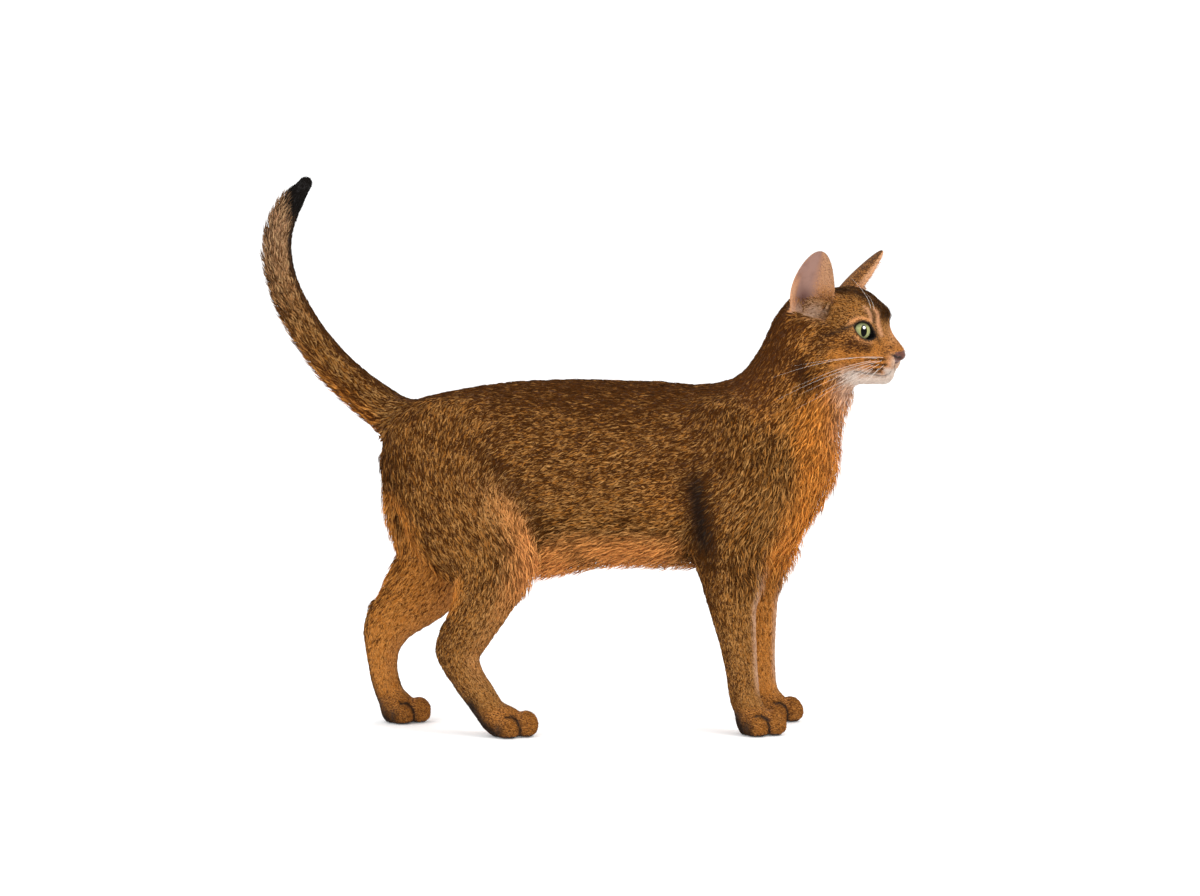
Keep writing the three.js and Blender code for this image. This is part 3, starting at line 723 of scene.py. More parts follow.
def meshArrays(obj):
    # the points in millimetres and the faces, all triangles
    mesh = obj.data
    mesh.calc_loop_triangles()
    verts = np.empty(len(mesh.vertices) * 3, np.float32)
    mesh.vertices.foreach_get("co", verts)
    faces = np.empty(len(mesh.loop_triangles) * 3, np.int32)
    mesh.loop_triangles.foreach_get("vertices", faces)
    return verts.reshape(-1, 3).astype(float) / mm, faces.reshape(-1, 3).astype(np.int64)


def applied(obj):
    # the object's shape with its modifiers, as a plain mesh
    graph = bpy.context.evaluated_depsgraph_get()
    mesh = bpy.data.meshes.new_from_object(obj.evaluated_get(graph), depsgraph=graph)
    obj.modifiers.clear()
    old, obj.data = obj.data, mesh
    bpy.data.meshes.remove(old)


def skinWithEars():
    verts, faces = buildSkin()
    skin = meshObject("skin", verts, faces)
    for side in sides:
        shell = meshObject("earShell", *earShell(side))
        joined = skin.modifiers.new("ear", "BOOLEAN")
        joined.operation = "UNION"
        joined.solver = "MANIFOLD"
        joined.object = shell
        applied(skin)
        bpy.data.objects.remove(shell)
    verts, faces = meshArrays(skin)
    bpy.data.objects.remove(skin)
    # the corner where each ear leaves the head is rounded
    soft = np.zeros(len(verts))
    for side in sides:
        e = intoEar(side, verts)
        offShell = np.maximum(np.abs(e["from"]) - earThick / 2, 0) + np.maximum(np.abs(e["u"]) - 1, 0) * 15
        offHead = np.abs(headField(verts) + 1.5)
        soft = np.maximum(soft, 1 - smoothStep(1.5, 4.5, np.hypot(offShell, offHead)))
    verts = smoothed(verts, faces, 0.6, 6, soft)
    print("skin with ears", len(verts), "points", len(faces), "faces")
    return verts, faces


# the lie of the coat
chains = {"trunk": trunk, "breast": breast, "belly": belly, "neck": neck, "tail": tail}
for name, limb in limbs.items():
    chains[name] = limb["leg"]


def wayAlong(c, place):
    # the way a chain runs at each place along it
    slope = unit(np.gradient(c["path"], axis=0))
    at = place * c["count"]
    i = np.minimum(at.astype(int), c["count"] - 1)
    w = (at - i)[:, None]
    return unit(slope[i] * (1 - w) + slope[i + 1] * w)


def survey(p):
    # how far each point lies from every mass of the body, where along it, and the way it runs there
    found = {}
    for name, c in chains.items():
        away, place = c["field"](p, along=True)
        found[name] = {"away": away, "place": place, "way": wayAlong(c, place)}
    found["belly"]["way"] = -found["belly"]["way"]
    found["head"] = {"away": headField(p)}
    for name in feet:
        found["paw" + name] = {"away": pawField(name)(p)}
    for side in sides:
        e = intoEar(side, p)
        on = (np.abs(e["from"]) < 3.5) & (np.abs(e["u"]) < 1.3) & (e["up"] > 0.5)
        on &= (found["head"]["away"] > -4.5) & (np.linalg.norm(p - headAt, axis=1) < headReach)
        e["on"] = on & ~((np.abs(e["u"]) > 1.08) & (found["head"]["away"] < 1))
        found["ear" + side.capitalize()] = e
    return found


def crestOf(n, found):
    # how far a point looks to the animal's upper side: 1 along the spine, -1 underneath
    total = np.full(len(n), 1e-9)
    crest = np.zeros(len(n))
    for name in chains:
        near = np.exp(-np.maximum(found[name]["away"], 0) / 6)
        way = found[name]["way"]
        total += near
        crest += near * (n[:, 0] * way[:, 2] - n[:, 2] * way[:, 0])
    return crest / total


lie = {
    "reach": 8, "slant": 0.32, "nose": np.array([36.0, 0, -16]), "headPull": 1.6, "smoothing": 10,
    "toes": [1, 0, -0.5], "golden": 0.7,
}


def coatFlow(p, n, faces, found):
    # along the limbs and the trunk, back from the nose, and out to the toes
    def near(name, reach):
        return np.exp(-np.maximum(found[name]["away"], 0) / reach)[:, None]

    total = np.zeros_like(p)
    for name in chains:
        total += found[name]["way"] * near(name, lie["reach"])
    total[:, 2] -= lie["slant"] * near("trunk", lie["reach"])[:, 0] * (1 - np.abs(n[:, 2]))
    back = unit((intoHead(p) - lie["nose"]) * [1, 1, 0.8]) @ turnAbout(headTurn).T
    total += back * lie["headPull"] * near("head", lie["reach"])
    for name, (_, _, turn) in feet.items():
        onPaw = near("paw" + name, 4)
        total = total * (1 - onPaw) + onPaw * (turnAbout(math.radians(turn)) @ lie["toes"])
    flow = unit(total - n * (total * n).sum(1, keepdims=True))
    for side in sides:
        ear = found["ear" + side.capitalize()]
        on = ear["on"]
        u, rise = np.clip(ear["u"][on], -1, 1), np.minimum(ear["rise"][on], 0.97)
        rim = earPoint(ears[side], u, rise + 0.02) - earPoint(ears[side], u, rise)
        rearwards = earPoint(ears[side], u - 0.1, rise) - earPoint(ears[side], u, rise)
        golden = ((ear["from"][on] < 0) * smoothStep(0, 0.6, u))[:, None]
        way = unit(unit(rim) + lie["golden"] * golden * unit(rearwards)) * [1, sides[side], 1]
        flow[on] = way @ turnAbout(headTurn).T
    for _ in range(lie["smoothing"]):
        flow = smoothed(flow, faces, 0.7)
        flow = unit(flow - n * (flow * n).sum(1, keepdims=True))
    return flow


# the markings and the shade painted into folds, gaps and hollows, the same for skin and hair
# Sable is the share of dark hairs, warm turns the light ones orange, pale makes them cream and
# black colours them all. A mark cuts tones down, then adds to them, then fills them up to an amount.
# Its place is made of parts of the body, ramps along a coordinate, and soft lines, discs and patches.

tailStart = (-130, 232)  # the tail lies behind this x and above this z
thighFront = {
    "on": ("hindLeg",), "ramps": [("ahead", -0.1, 0.6)],
    "sum": [{"share": 0.35, "ramps": [("z", 30, 60)]}, {"share": 0.65, "ramps": [("z", 90, 140)]}],
}
breastMark = {"share": 0.95, "ramps": [("pastBreastLine", -13, 9), ("z", 262, 248), ("z", 108, 142)]}
throatMark = {"on": ("neck",), "ramps": [("crest", 0.35, -0.4)]}
# the arm and flank lines follow folds where shadow is painted
bodyLines = {  # x and z along each
    "arm": [(93, 212), (95, 188), (98, 165), (100, 145)], "flank": [(-76, 232), (-52, 200), (-28, 166)],
    "breast": [(139, 114), (147, 149), (164, 183), (173, 223), (168, 251)],
}
heels = {"fore": [(-22, 17), (-15, 1)], "hind": [(-35, 28), (-26, 13), (-13, 1)]}  # x and z from the foot
bodyTones = {"sable": 0.48, "warm": 0.22, "pale": 0.0, "black": 0.0}
bodyMarks = {
    "back": {"ramps": [("z", 165, 225)], "add": {"sable": 0.12}},
    "spine": {"ramps": [("crest", 0.05, 0.85)], "add": {"sable": 0.33}},
    "shoulder": {"disc": (118, 235, 42, 45), "add": {"sable": 0.13}},
    "ribs": {"disc": (70, 190, 18, 22), "add": {"warm": 0.2}},
    "belly": {
        "on": ("trunk",), "ramps": [("z", 176, 150), ("crest", 0.35, -0.25)],
        "cut": {"sable": 0.95}, "fill": {"warm": 1, "pale": 0.06},
    },
    "lowLeg": {"on": ("leg",), "ramps": [("z", 150, 45)], "cut": {"sable": 0.26}},
    "legEdges": {
        "most": [
            {"share": 0.6, "on": ("leg",), "ramps": [("inward", 0.05, 0.6), ("z", 185, 150)]},
            {
                "share": 0.8, "on": ("hindLeg",),
                "ramps": [("ahead", -0.3, -0.85), ("z", 85, 115), ("z", 225, 190)],
            },
            {"share": 0.5, "on": ("foreLeg",), "ramps": [("ahead", 0.55, 0.95), ("z", 25, 50)]},
            thighFront,
        ],
        "cut": {"sable": 0.7}, "fill": {"warm": 1},
    },
    "thighFront": {**thighFront, "fill": {"pale": 0.08}},
    "chestSide": {"on": ("offHead", "offBreast"), "disc": (150, 200, 24, 34), "add": {"sable": -0.3}},
    "breast": {**breastMark, "fill": {"warm": 1}},
    "throat": {**throatMark, "fill": {"warm": 0.9}},
    "neck": {"on": ("neck",), "fill": {"warm": 0.45}},
    "breastAndThroat": {
        "sum": [
            {"share": 0.7, "most": [breastMark]},
            {"share": 0.62, "on": ("offBreast",), "most": [throatMark]},
        ],
        "cut": {"sable": 1},
    },
    "neckTop": {"on": ("neck",), "ramps": [("crest", 0.3, 0.8)], "add": {"sable": 0.16}},
    "throatFront": {
        "most": [throatMark], "ramps": [("x", 185, 225), ("ahead", 0.3, 0.9)], "fill": {"pale": 0.3},
    },
    "shin": {
        "on": ("foreLeg",), "ramps": [("ahead", 0.6, 0.97), ("z", 150, 120), ("z", 28, 50)],
        "cut": {"sable": 0.5}, "fill": {"pale": 0.32},
    },
    "tail": {
        "on": ("onTail",), "cut": {"sable": 1, "warm": 1, "pale": 1}, "add": {"sable": 0.56, "warm": 0.1},
    },
    "tailUnder": {
        "on": ("onTail",), "ramps": [("crest", 0, -0.8), ("along", 0.62, 0.2)], "add": {"warm": 0.85},
    },
    "tailEnd": {"on": ("onTail",), "ramps": [("along", 0.3, 0.8)], "add": {"sable": -0.2}},
    "tailTop": {"on": ("onTail",), "ramps": [("crest", 0.62, 0.93)], "add": {"sable": 0.5}},
    "tailPale": {"on": ("onTail",), "ramps": [("along", 0.4, 0.8)], "fill": {"pale": 0.13}},
    "tailTip": {"on": ("tail",), "ramps": [("tipward", 0.83, 0.89)], "fill": {"black": 1}},
    "tailLine": {
        "on": ("onTail",), "ramps": [("crest", 0.62, 0.93), ("along", 0.45, 0.75)], "fill": {"black": 0.8},
    },
    "foot": {"ramps": [("z", 32, 20)], "cut": {"sable": 1}, "add": {"sable": 0.5}, "fill": {"warm": 0.6}},
    "sole": {"ramps": [("z", 3.5, 1.5)], "fill": {"black": 0.95}},
    "wrist": {"ramps": [("ahead", -0.1, -0.8), ("z", 26, 8)], "fill": {"black": 0.85}},
    "hock": {"on": ("hindLeg",), "ramps": [("ahead", -0.45, -0.9), ("z", 62, 20)], "fill": {"black": 0.75}},
    # black between the toes: dark hair there, and painted shade in the gaps between them
    "toes": {"on": ("toeSide",), "fill": {"black": 0.95}},
    "middleToes": {"on": ("toeFront",), "fill": {"black": 0.6}},
    "heel": {"on": ("heel",), "fill": {"black": 0.95}},
    # painted shadow in the folds behind the upper arm and at the flank
    "foldShadows": {  # behind the upper arm and at the flank
        "on": ("beside",), "ramps": [("crest", 0.9, 0.5)],
        "most": [
            {
                "sum": [
                    {"near": ("arm", 6.5), "ramps": [("z", 222, 185)]},
                    {"share": 0.55, "near": ("arm", 15)},
                ],
            },
            {"share": 0.5, "near": ("flank", 10)},
        ],
        "cut": {"sable": 1, "warm": 0.9}, "add": {"sable": 1.05},
    },
    # painted shadow, black deep in the fold behind the upper arm
    "armpitShadow": {
        "on": ("beside",), "near": ("arm", 6.5), "ramps": [("z", 222, 200), ("z", 146, 162)],
        "fill": {"black": 0.8},
    },
}
# places on the face are in the head's own frame, for a left side
crownMark = {
    "most": [
        {"ramps": [("browUp", 23, 29), ("y", 19, 12), ("z", 0, 10)]},
        {"ramps": [("z", 22, 32), ("y", 24, 14)]},
    ],
}
whiskerRows = [  # both ends and the number of roots
    ((23.5, 15, -23.2), (10, 21.5, -23.6), 6), ((24.5, 14.5, -27), (10.2, 18, -27.6), 6),
    ((22.5, 14, -30.8), (12.5, 14.6, -31.4), 5), ((20, 13, -34), (13, 13.5, -34.6), 3),
]
faceTones = {"sable": 0.42, "warm": 0.3, "pale": 0.0, "black": 0.0}
faceMarks = {
    "crown": {**crownMark, "add": {"sable": 0.52, "warm": -0.3}},
    "nape": {"ramps": [("x", -24, -44), ("z", 0, 25)], "add": {"sable": 0.35}},
    "stripes": {"most": [crownMark], "near": ("stripe", 1.6), "fill": {"black": 0.45}},
    "cheek": {"ramps": [("z", 4, -18), ("x", -34, -6)], "add": {"warm": 0.45, "sable": -0.2}},
    "cheekSide": {"at": (-13, 35, -3), "radii": (14, 14, 9), "add": {"sable": 0.36}},
    "jawSide": {"at": (-28, 38, -10), "radii": (12, 12, 12), "add": {"sable": 0.28}},
    "lidGold": {
        "near": ("lidEdge", 1.3, 2.9), "ramps": [("eyeOut", -9.5, -3), ("eyeHeight", 2.4, 5.4)],
        "cut": {"sable": 0.9}, "fill": {"warm": 1, "pale": 0.14},
    },
    "lidRim": {"ramps": [("lidEdge", 1.6, 0.7)], "fill": {"black": 1}},
    # black at the eye's inner corner: the dark lid rim there, and painted shade in the corner's deep recess
    "innerCorner": {
        "share": 1.2, "frame": "eye", "at": (8.5, -10.5, -3.5), "radii": (5, 3.4, 4.6), "fill": {"black": 1},
    },
    "brow": {
        "line": [(14, 18.6, 15), (15.8, 18.7, 11.3), (16.5, 17.6, 7)], "wide": 1.5, "fill": {"black": 0.65},
    },
    "cornerLine": {
        "line": [(1, 29.5, 4), (-2.3, 30.9, 2.7), (-9.3, 34.3, -1.3), (-20, 36, -4)], "wide": 1.6,
        "fill": {"black": 0.75},
    },
    "cheekLine": {
        "line": [(-2, 33, -11), (-12, 35.5, -14), (-24, 36, -13)], "wide": 2.2, "fill": {"black": 0.4},
    },
    "tear": {"line": [(15.9, 15.9, -4.4), (19, 13, -9.5)], "wide": 1.7, "fill": {"black": 0.8}},
    "browGold": {
        "most": [
            {"line": [(16.2, 16.2, 15), (17.8, 14.4, 8.5), (18.2, 11.1, 1.9), (19.3, 10, -4)], "wide": 2.2},
            {"share": 0.9, "line": [(10.3, 20.2, 18), (13.4, 20.2, 13.5), (15, 19.5, 8)], "wide": 1.9},
        ],
        "cut": {"sable": 0.85}, "fill": {"warm": 1, "pale": 0.28},
    },
    "whiskerPad": {
        "share": 1.4, "at": (17, 17, -27), "radii": (12, 10, 8), "cut": {"sable": 0.45}, "fill": {"warm": 1},
    },
    "bridge": {
        "at": (24, 0, -7), "radii": (12, 6, 10), "cut": {"sable": 0.75}, "fill": {"warm": 0.85, "pale": 0.15},
    },
    "noseTop": {"at": (28, 0, -12), "radii": (7, 9, 6), "add": {"sable": 0.3}},
    "noseSide": {"at": (24, 12, -16), "radii": (7, 6, 5), "add": {"sable": 0.35}},
    "lips": {"near": ("mouth", 2.8), "ramps": [("z", -26, -31)], "fill": {"pale": 0.8}},
    "jaw": {
        "most": [
            {"ramps": [("z", -35, -39), ("x", -16, -2)]}, {"ramps": [("x", 21, 25), ("z", -28, -32)]},
        ],
        "fill": {"pale": 0.92},
    },
    "chin": {"share": 1.5, "at": (19, 0, -42), "radii": (14, 12, 5.5), "fill": {"pale": 1}},
    "muzzle": {"share": 1.5, "at": (30, 5, -26.5), "radii": (5, 8, 6), "fill": {"pale": 0.55}},
    "mouthCorner": {"share": 1.5, "at": (-4, 19, -38), "radii": (10, 10, 7), "fill": {"pale": 0.95}},
    "underEye": {
        "line": [(13, 25, -14), (8.7, 29, -13), (4.6, 31.5, -10.5), (0, 32, -13)], "wide": 5,
        "add": {"sable": 0.6}, "fill": {"black": 0.25},
    },
    "earRoot": {
        "share": 1.5, "at": (-32, 27, 15), "radii": (9, 9, 8), "cut": {"sable": 0.75}, "fill": {"pale": 0.4},
    },
}
faceLines = {
    "mouthLine": {
        "near": ("mouth", 0.9), "ramps": [("x", -10, -2), ("z", -18, -24)], "fill": {"black": 0.75},
    },
    # the nostrils and their slits are painted black: painted shade in the openings
    "nostril": {
        "most": [
            {"near": ("slit", 1.3)}, {"share": 1.4, "at": face["nostril"][0], "radii": face["nostril"][1]},
        ],
        "fill": {"black": 1},
    },
    "whiskerRoots": {"near": ("whiskerRoot", 1.25), "fill": {"black": 0.8, "sable": 1}},
    "jawUnder": {"ramps": [("z", -30, -44), ("x", 20, -10)], "fill": {"warm": 0.6, "pale": 0.35}},
}
jowl = {"line": [(-37, 40, -28), (-31, 38, -38)], "reach": 90}
jowlMarks = {  # where head and neck run together
    # painted shadow in the fold behind the jaw
    "behindJaw": {"on": ("nearHead",), "near": ("jowl", 8), "add": {"sable": 0.5}, "fill": {"black": 0.4}},
    "clear": {"share": 1.3, "at": (-8, 12, -48), "radii": (13, 15, 10), "cut": {"sable": 0.7}},
    "underJaw": {"at": (-8, 12, -48), "radii": (13, 15, 10), "fill": {"warm": 1.04, "pale": 0.52}},
}
leather = {"at": (31, 0, -21.8), "radii": (9, 8, 6.2), "from": 24}


def placeOf(mark, c):
    # how strongly a mark covers each point
    value = np.full(len(c["z"]), mark.get("share", 1.0))
    for part in mark.get("on", ()):
        value = value * c[part]
    for name, low, high in mark.get("ramps", ()):
        value = value * smoothStep(low, high, c[name])
    if "near" in mark:
        name, width, *middle = mark["near"]
        value = value * bump(c[name], middle[0] if middle else 0, width)
    if "line" in mark:
        value = value * bump(onSkull(c["local"], mark["line"]), 0, mark["wide"])
    if "disc" in mark:
        x, z, wide, high = mark["disc"]
        value = value * bump(c["x"], x, wide) * bump(c["z"], z, high)
    if "at" in mark:
        value = value * blob(c[mark.get("frame", "local")], mark["at"], mark["radii"])
    if "most" in mark:
        value = value * np.maximum.reduce([placeOf(part, c) for part in mark["most"]])
    if "sum" in mark:
        value = value * sum(placeOf(part, c) for part in mark["sum"])
    return value


def paint(tone, marks, c):
    for mark in marks.values():
        place = np.minimum(placeOf(mark, c), 1)
        for name, amount in mark.get("cut", {}).items():
            tone[name] = tone[name] * (1 - amount * place)
        for name, amount in mark.get("add", {}).items():
            tone[name] = tone[name] + amount * place
        for name, amount in mark.get("fill", {}).items():
            tone[name] = np.maximum(tone[name], amount * place)
    return tone


def headShare(p, found):
    # 1 on the head and 0 on the body, with a soft border on the neck
    return (1 - smoothStep(-2, 7, found["head"]["away"])) * (np.linalg.norm(p - headAt, axis=1) < headReach)


def behindRump(p):
    return (p[:, 0] < tailStart[0]) & (p[:, 2] > tailStart[1])


def bodyPlaces(p, n, found):
    # the coordinates and the parts of the body that its marks are placed by
    x, y, z = p.T
    crest = found["crest"]
    along = found["tail"]["place"]

    def part(away, reach=4):
        return np.exp(-np.maximum(away, 0) / reach)

    offHead = 1 - headShare(p, found)
    tailPart = behindRump(p) * part(found["tail"]["away"])
    legs = {name: part(found[name]["away"]) for name in limbs}
    foreLeg = np.maximum(legs["foreRight"], legs["foreLeft"]) * smoothStep(185, 150, z)
    hindLeg = np.maximum(legs["hindRight"], legs["hindLeft"]) * smoothStep(230, 195, z) * (x < -30)
    toeSide, toeFront = toeGaps(p)
    breastLine = np.array(bodyLines["breast"]).T
    heel = np.zeros(len(p))
    for name, (footX, footY, _) in feet.items():
        here = np.abs(y - footY) < 25
        line = [(footX + a, b) for a, b in heels[name[:4]]]
        heel[here] = np.maximum(heel[here], bump(lineDistance(p[here][:, [0, 2]], line), 0, 6))
    c = {
        "x": x, "z": z, "crest": crest, "along": along, "local": headLocal(p),
        "ahead": n[:, 0], "inward": np.where(np.abs(y) > 6, -n[:, 1] * np.sign(y), 0),
        "tipward": along + 0.045 * crest + 0.03 * latticeNoise(p, 3, 7),
        "pastBreastLine": x - np.interp(z, breastLine[1], breastLine[0]),
        "arm": lineDistance(p[:, [0, 2]], bodyLines["arm"]),
        "flank": lineDistance(p[:, [0, 2]], bodyLines["flank"]), "beside": np.abs(y) > 12,
        "trunk": part(np.minimum(found["trunk"]["away"], found["belly"]["away"]), 5),
        "neck": part(found["neck"]["away"], 5) * offHead, "offHead": offHead,
        "tail": tailPart, "onTail": tailPart > 0.4,
        "foreLeg": foreLeg, "hindLeg": hindLeg, "leg": np.maximum(foreLeg, hindLeg),
        "toeSide": toeSide, "toeFront": toeFront, "heel": heel,
        "nearHead": np.linalg.norm(p - headAt, axis=1) < jowl["reach"],
    }
    c["jowl"] = lineDistance(c["local"], jowl["line"])
    c["offBreast"] = 1 - placeOf(breastMark, c)
    return c


def facePlaces(m):
    # the same for the face, in the head's own frame
    q = intoEye(m)
    roots = [
        np.array(a) + (np.array(b) - a) * t for a, b, count in whiskerRows for t in np.linspace(0, 1, count)
    ]
    return {
        "local": m, "x": m[:, 0], "y": m[:, 1], "z": m[:, 2], "browUp": m[:, 2] + 0.85 * m[:, 0],
        "stripe": np.abs(np.abs(m[:, 1] - 7) - 4), "eye": q, "eyeOut": q[:, 1], "eyeHeight": np.abs(q[:, 2]),
        "lidEdge": lidDistance(q, 24), "mouth": onSkull(m, face["mouth"]),
        "slit": lineDistance(m, face["slit"]),
        "whiskerRoot": np.min([onSkull(m, [root, root + [0, 0, 0.01]]) for root in roots], axis=0),
    }


def earTones(ear, left):
    # a dark furred back, and within pinkish grey, golden towards the front edge, with painted shade deep in
    # the cup
    on = ear["on"]
    u, rise, within = ear["u"][on], ear["rise"][on], ear["from"][on] < 0
    edge = smoothStep(0.82, 1, np.abs(u))
    golden = smoothStep(-0.15, 0.55, u) * within
    hollowShade = bump(u, -0.22, 0.4) * bump(rise, 0.24, 0.16) * within
    low = smoothStep(0.16, 0.06, rise) * within
    rim = smoothStep(0.72, 0.95, u) * left
    strip = 0.8 * smoothStep(0.6, 0.85, u) * smoothStep(0, 0.2, rise) * left
    rearRim = smoothStep(0.55, 0.8, -u) * smoothStep(0.65, 0.35, rise)
    back = {
        "sable": (0.6 + 0.1 * rise) * (1 - 0.6 * edge * (u < 0) - strip),
        "warm": 0.4 + 0.2 * (1 - rise) + 0.3 * edge + 0.4 * strip,
        "pale": np.maximum(0.1 * edge, 0.3 * strip),
        "black": 0.2 * smoothStep(0.6, 0.95, rise) * (1 - strip), "bare": 0 * u,
    }
    lining = {
        "sable": (0.2 + 0.4 * smoothStep(0.5, 0.25, rise)) * golden * (1 - rim),
        "warm": 0.6 + 0.3 * rim + rearRim,
        "pale": np.maximum(0.22 * golden * smoothStep(0.25, 0.6, rise) + 0.3 * (rim + rearRim), 0.42 * low),
        "black": 0.92 * hollowShade, "bare": (1 - 0.8 * golden - 0.8 * rearRim) * (1 - 0.7 * low),
    }
    return {name: np.where(within, lining[name], back[name]) for name in back}


# the tones of skin and hair: the coat's markings, and shade painted into folds, gaps and hollows
def markings(p, n, found):
    tone = {name: np.full(len(p), value) for name, value in bodyTones.items()}
    tone["sable"] += 0.1 * (latticeNoise(p, 16, 5) - 0.5) + 0.2 * (latticeNoise(p, 6, 6) - 0.5)
    body = bodyPlaces(p, n, found)
    paint(tone, bodyMarks, body)
    share = headShare(p, found)
    onHead = share > 0.02
    share = share[onHead]
    head = facePlaces(body["local"][onHead])
    onFace = {name: np.full(len(share), value) for name, value in faceTones.items()}
    paint(onFace, faceMarks, head)
    onFace["black"] *= 1 - 0.9 * np.minimum(onFace["pale"], 1) ** 2  # cream hair covers the dark lines
    paint(onFace, faceLines, head)
    for name, value in tone.items():
        value[onHead] = value[onHead] * (1 - share) + onFace[name] * share
    paint(tone, jowlMarks, body)
    tone["bare"] = np.zeros(len(p))
    for side in sides:
        ear = found["ear" + side.capitalize()]
        for name, value in earTones(ear, side == "left").items():
            tone[name][ear["on"]] = value
    reach = np.linalg.norm((body["local"] - leather["at"]) / leather["radii"], axis=1)
    tone["leather"] = smoothStep(1.06, 0.94, reach) * (body["local"][:, 0] > leather["from"])
    tone["bare"] = np.maximum(tone["bare"], tone["leather"])
    return {name: np.clip(value, 0, 1) for name, value in tone.items()}


# the hair: tufts over the skin
hair = {
    "cover": 1.75,  # how many tufts lie over each other
    "sink": 0.35, "waist": 0.5, "ridge": 0.28, "bend": 0.3, "roll": 0.4, "stray": 0.27,
    "lifts": (0.5, 1.6), "lengths": (0.7, 1.3), "widths": (0.75, 1.3),  # how far single tufts vary
    "along": (0.0, 0.5, 0.5, 0.55, 1),  # how far each corner of a tuft is from its root
    "patch": 0.003,  # the width of a tuft on the unwrap
    "overFloor": 0.25, "splitAt": 30,  # the x where the trunk's coat is split in two
    # lengths: on the legs, more above the knee and on the flank, on the paws and on the tail
    "leg": 3.6, "thigh": 1.6, "flank": 1.4, "paw": 2.6, "tail": 6.5, "tailTip": 3.2,
    "fringe": 6.5, "tailFringe": 3.5, "forelockLength": 3.5, "forelockLift": 35, "earWidth": 0.32,
    "forelock": ((21.6, 2.5, 10.5), (3, 4, 4)), "crown": ((0, 10, 32), (22, 20, 16)),
    "muzzle": (31, 0, -17),
}
# streaks of dark and light hairs: cell, reach along the lie and salt
ticking = {
    "fine": (1.1, 1.5, 1), "fineShare": 0.2, "broad": (3.2, 4, 2), "broadShare": 0.06, "scatter": 0.8,
    "even": 0.65,  # how much less feet, ears and muzzle are ticked
}


def hairSizes(p, n, found, tones):
    # the length, width and lift of the hair at every point, in millimetres and degrees
    x, _, z = p.T
    m = headLocal(p)
    headPart = headShare(p, found)
    place = found["tail"]["place"]
    length = hair["leg"] + hair["thigh"] * smoothStep(35, 110, z) + hair["flank"] * smoothStep(110, 185, z)
    under = smoothStep(0.25, -0.35, found["crest"])
    fringe = under * smoothStep(185, 155, z) * smoothStep(105, 130, z)
    fringe = np.maximum(fringe, under * smoothStep(105, 135, x) * smoothStep(140, 165, z))
    onTail = behindRump(p)
    tailFringe = smoothStep(0.3, -0.5, found["crest"]) * smoothStep(0.95, 0.8, place)
    fringe = np.where(onTail, tailFringe, fringe)
    breeches = smoothStep(0.2, 0.8, -n[:, 0]) * smoothStep(-95, -125, x) * smoothStep(85, 120, z) * ~onTail
    fringe = np.clip(np.maximum(fringe, 0.7 * breeches), 0, 1)
    length = np.where(onTail, hair["tail"] - hair["tailTip"] * smoothStep(0.88, 0.97, place), length)
    length = length + np.where(onTail, hair["tailFringe"], hair["fringe"]) * fringe
    away = np.linalg.norm(m - hair["muzzle"], axis=1)
    onFace = 1.4 + 2.8 * smoothStep(10, 85, away) - 0.7 * blob(m, *hair["crown"])
    length = length * (1 - headPart) + onFace * headPart
    pawPart = smoothStep(34, 22, z)
    length = length * (1 - pawPart) + hair["paw"] * pawPart
    width = np.clip(0.26 + 0.105 * length, 0.36, 0.95) * (1 - 0.2 * headPart)
    fringeLift = 14 + 16 * smoothStep(-70, -30, x)
    lift = 10 + 4 * headPart + fringeLift * fringe * (1 - headPart) + 2 * pawPart
    q = intoEye(m)
    length *= 0.55 + 0.45 * smoothStep(13, 20, np.linalg.norm(q, axis=1))
    forelock = blob(m, *hair["forelock"])
    length += hair["forelockLength"] * forelock
    lift += hair["forelockLift"] * forelock
    keep = 1 - smoothStep(0.35, 0.75, tones["bare"])
    for side in sides:
        ear = found["ear" + side.capitalize()]
        on = ear["on"]
        within = ear["from"][on] < 0
        u, rise = ear["u"][on], ear["rise"][on]
        front = smoothStep(-0.2, 0.7, u)
        low = smoothStep(0.28, 0.1, rise)
        edge = smoothStep(0.75, 0.95, u) * (side == "left")
        shorter = 1 - 0.5 * smoothStep(0.75, 1, rise)
        length[on] = np.where(within, 1.8 + 1.2 * front + 3 * low + 3 * edge, 1.5) * shorter
        width[on] = hair["earWidth"]
        lift[on] = np.where(within, 8 + 5 * front + 14 * low + 25 * edge, 4) * shorter
        keep[on] = np.where(within, np.maximum(0.8 * front, 0.5 * low), 0.8) * smoothStep(0.97, 0.9, rise)
    keep *= smoothStep(1.5, 4, z) * (1 - 0.7 * toeGaps(p)[0])
    keep *= smoothStep(0.9, 1.8, lidDistance(q, 20))
    keep *= 1 - 0.9 * bump(onSkull(m, face["mouth"]), 0, 1.0) * (m[:, 0] > -6) * headPart
    return {"length": length, "width": width, "lift": lift, "keep": np.clip(keep, 0, 1)}


def sown(verts, faces, density, rng):
    # points spread over the faces: the face of each and its place on it
    area = np.linalg.norm(faceNormals(verts, faces), axis=1) / 2
    total = np.cumsum(area * density[faces].mean(1))
    count = int(total[-1])
    owner = np.searchsorted(total, (np.arange(count) + rng.random(count)) / count * total[-1])
    a, b = rng.random(count), rng.random(count)
    fold = a + b > 1
    a, b = np.where(fold, 1 - a, a), np.where(fold, 1 - b, b)
    return np.minimum(owner, len(faces) - 1), np.stack([1 - a - b, a, b], 1)


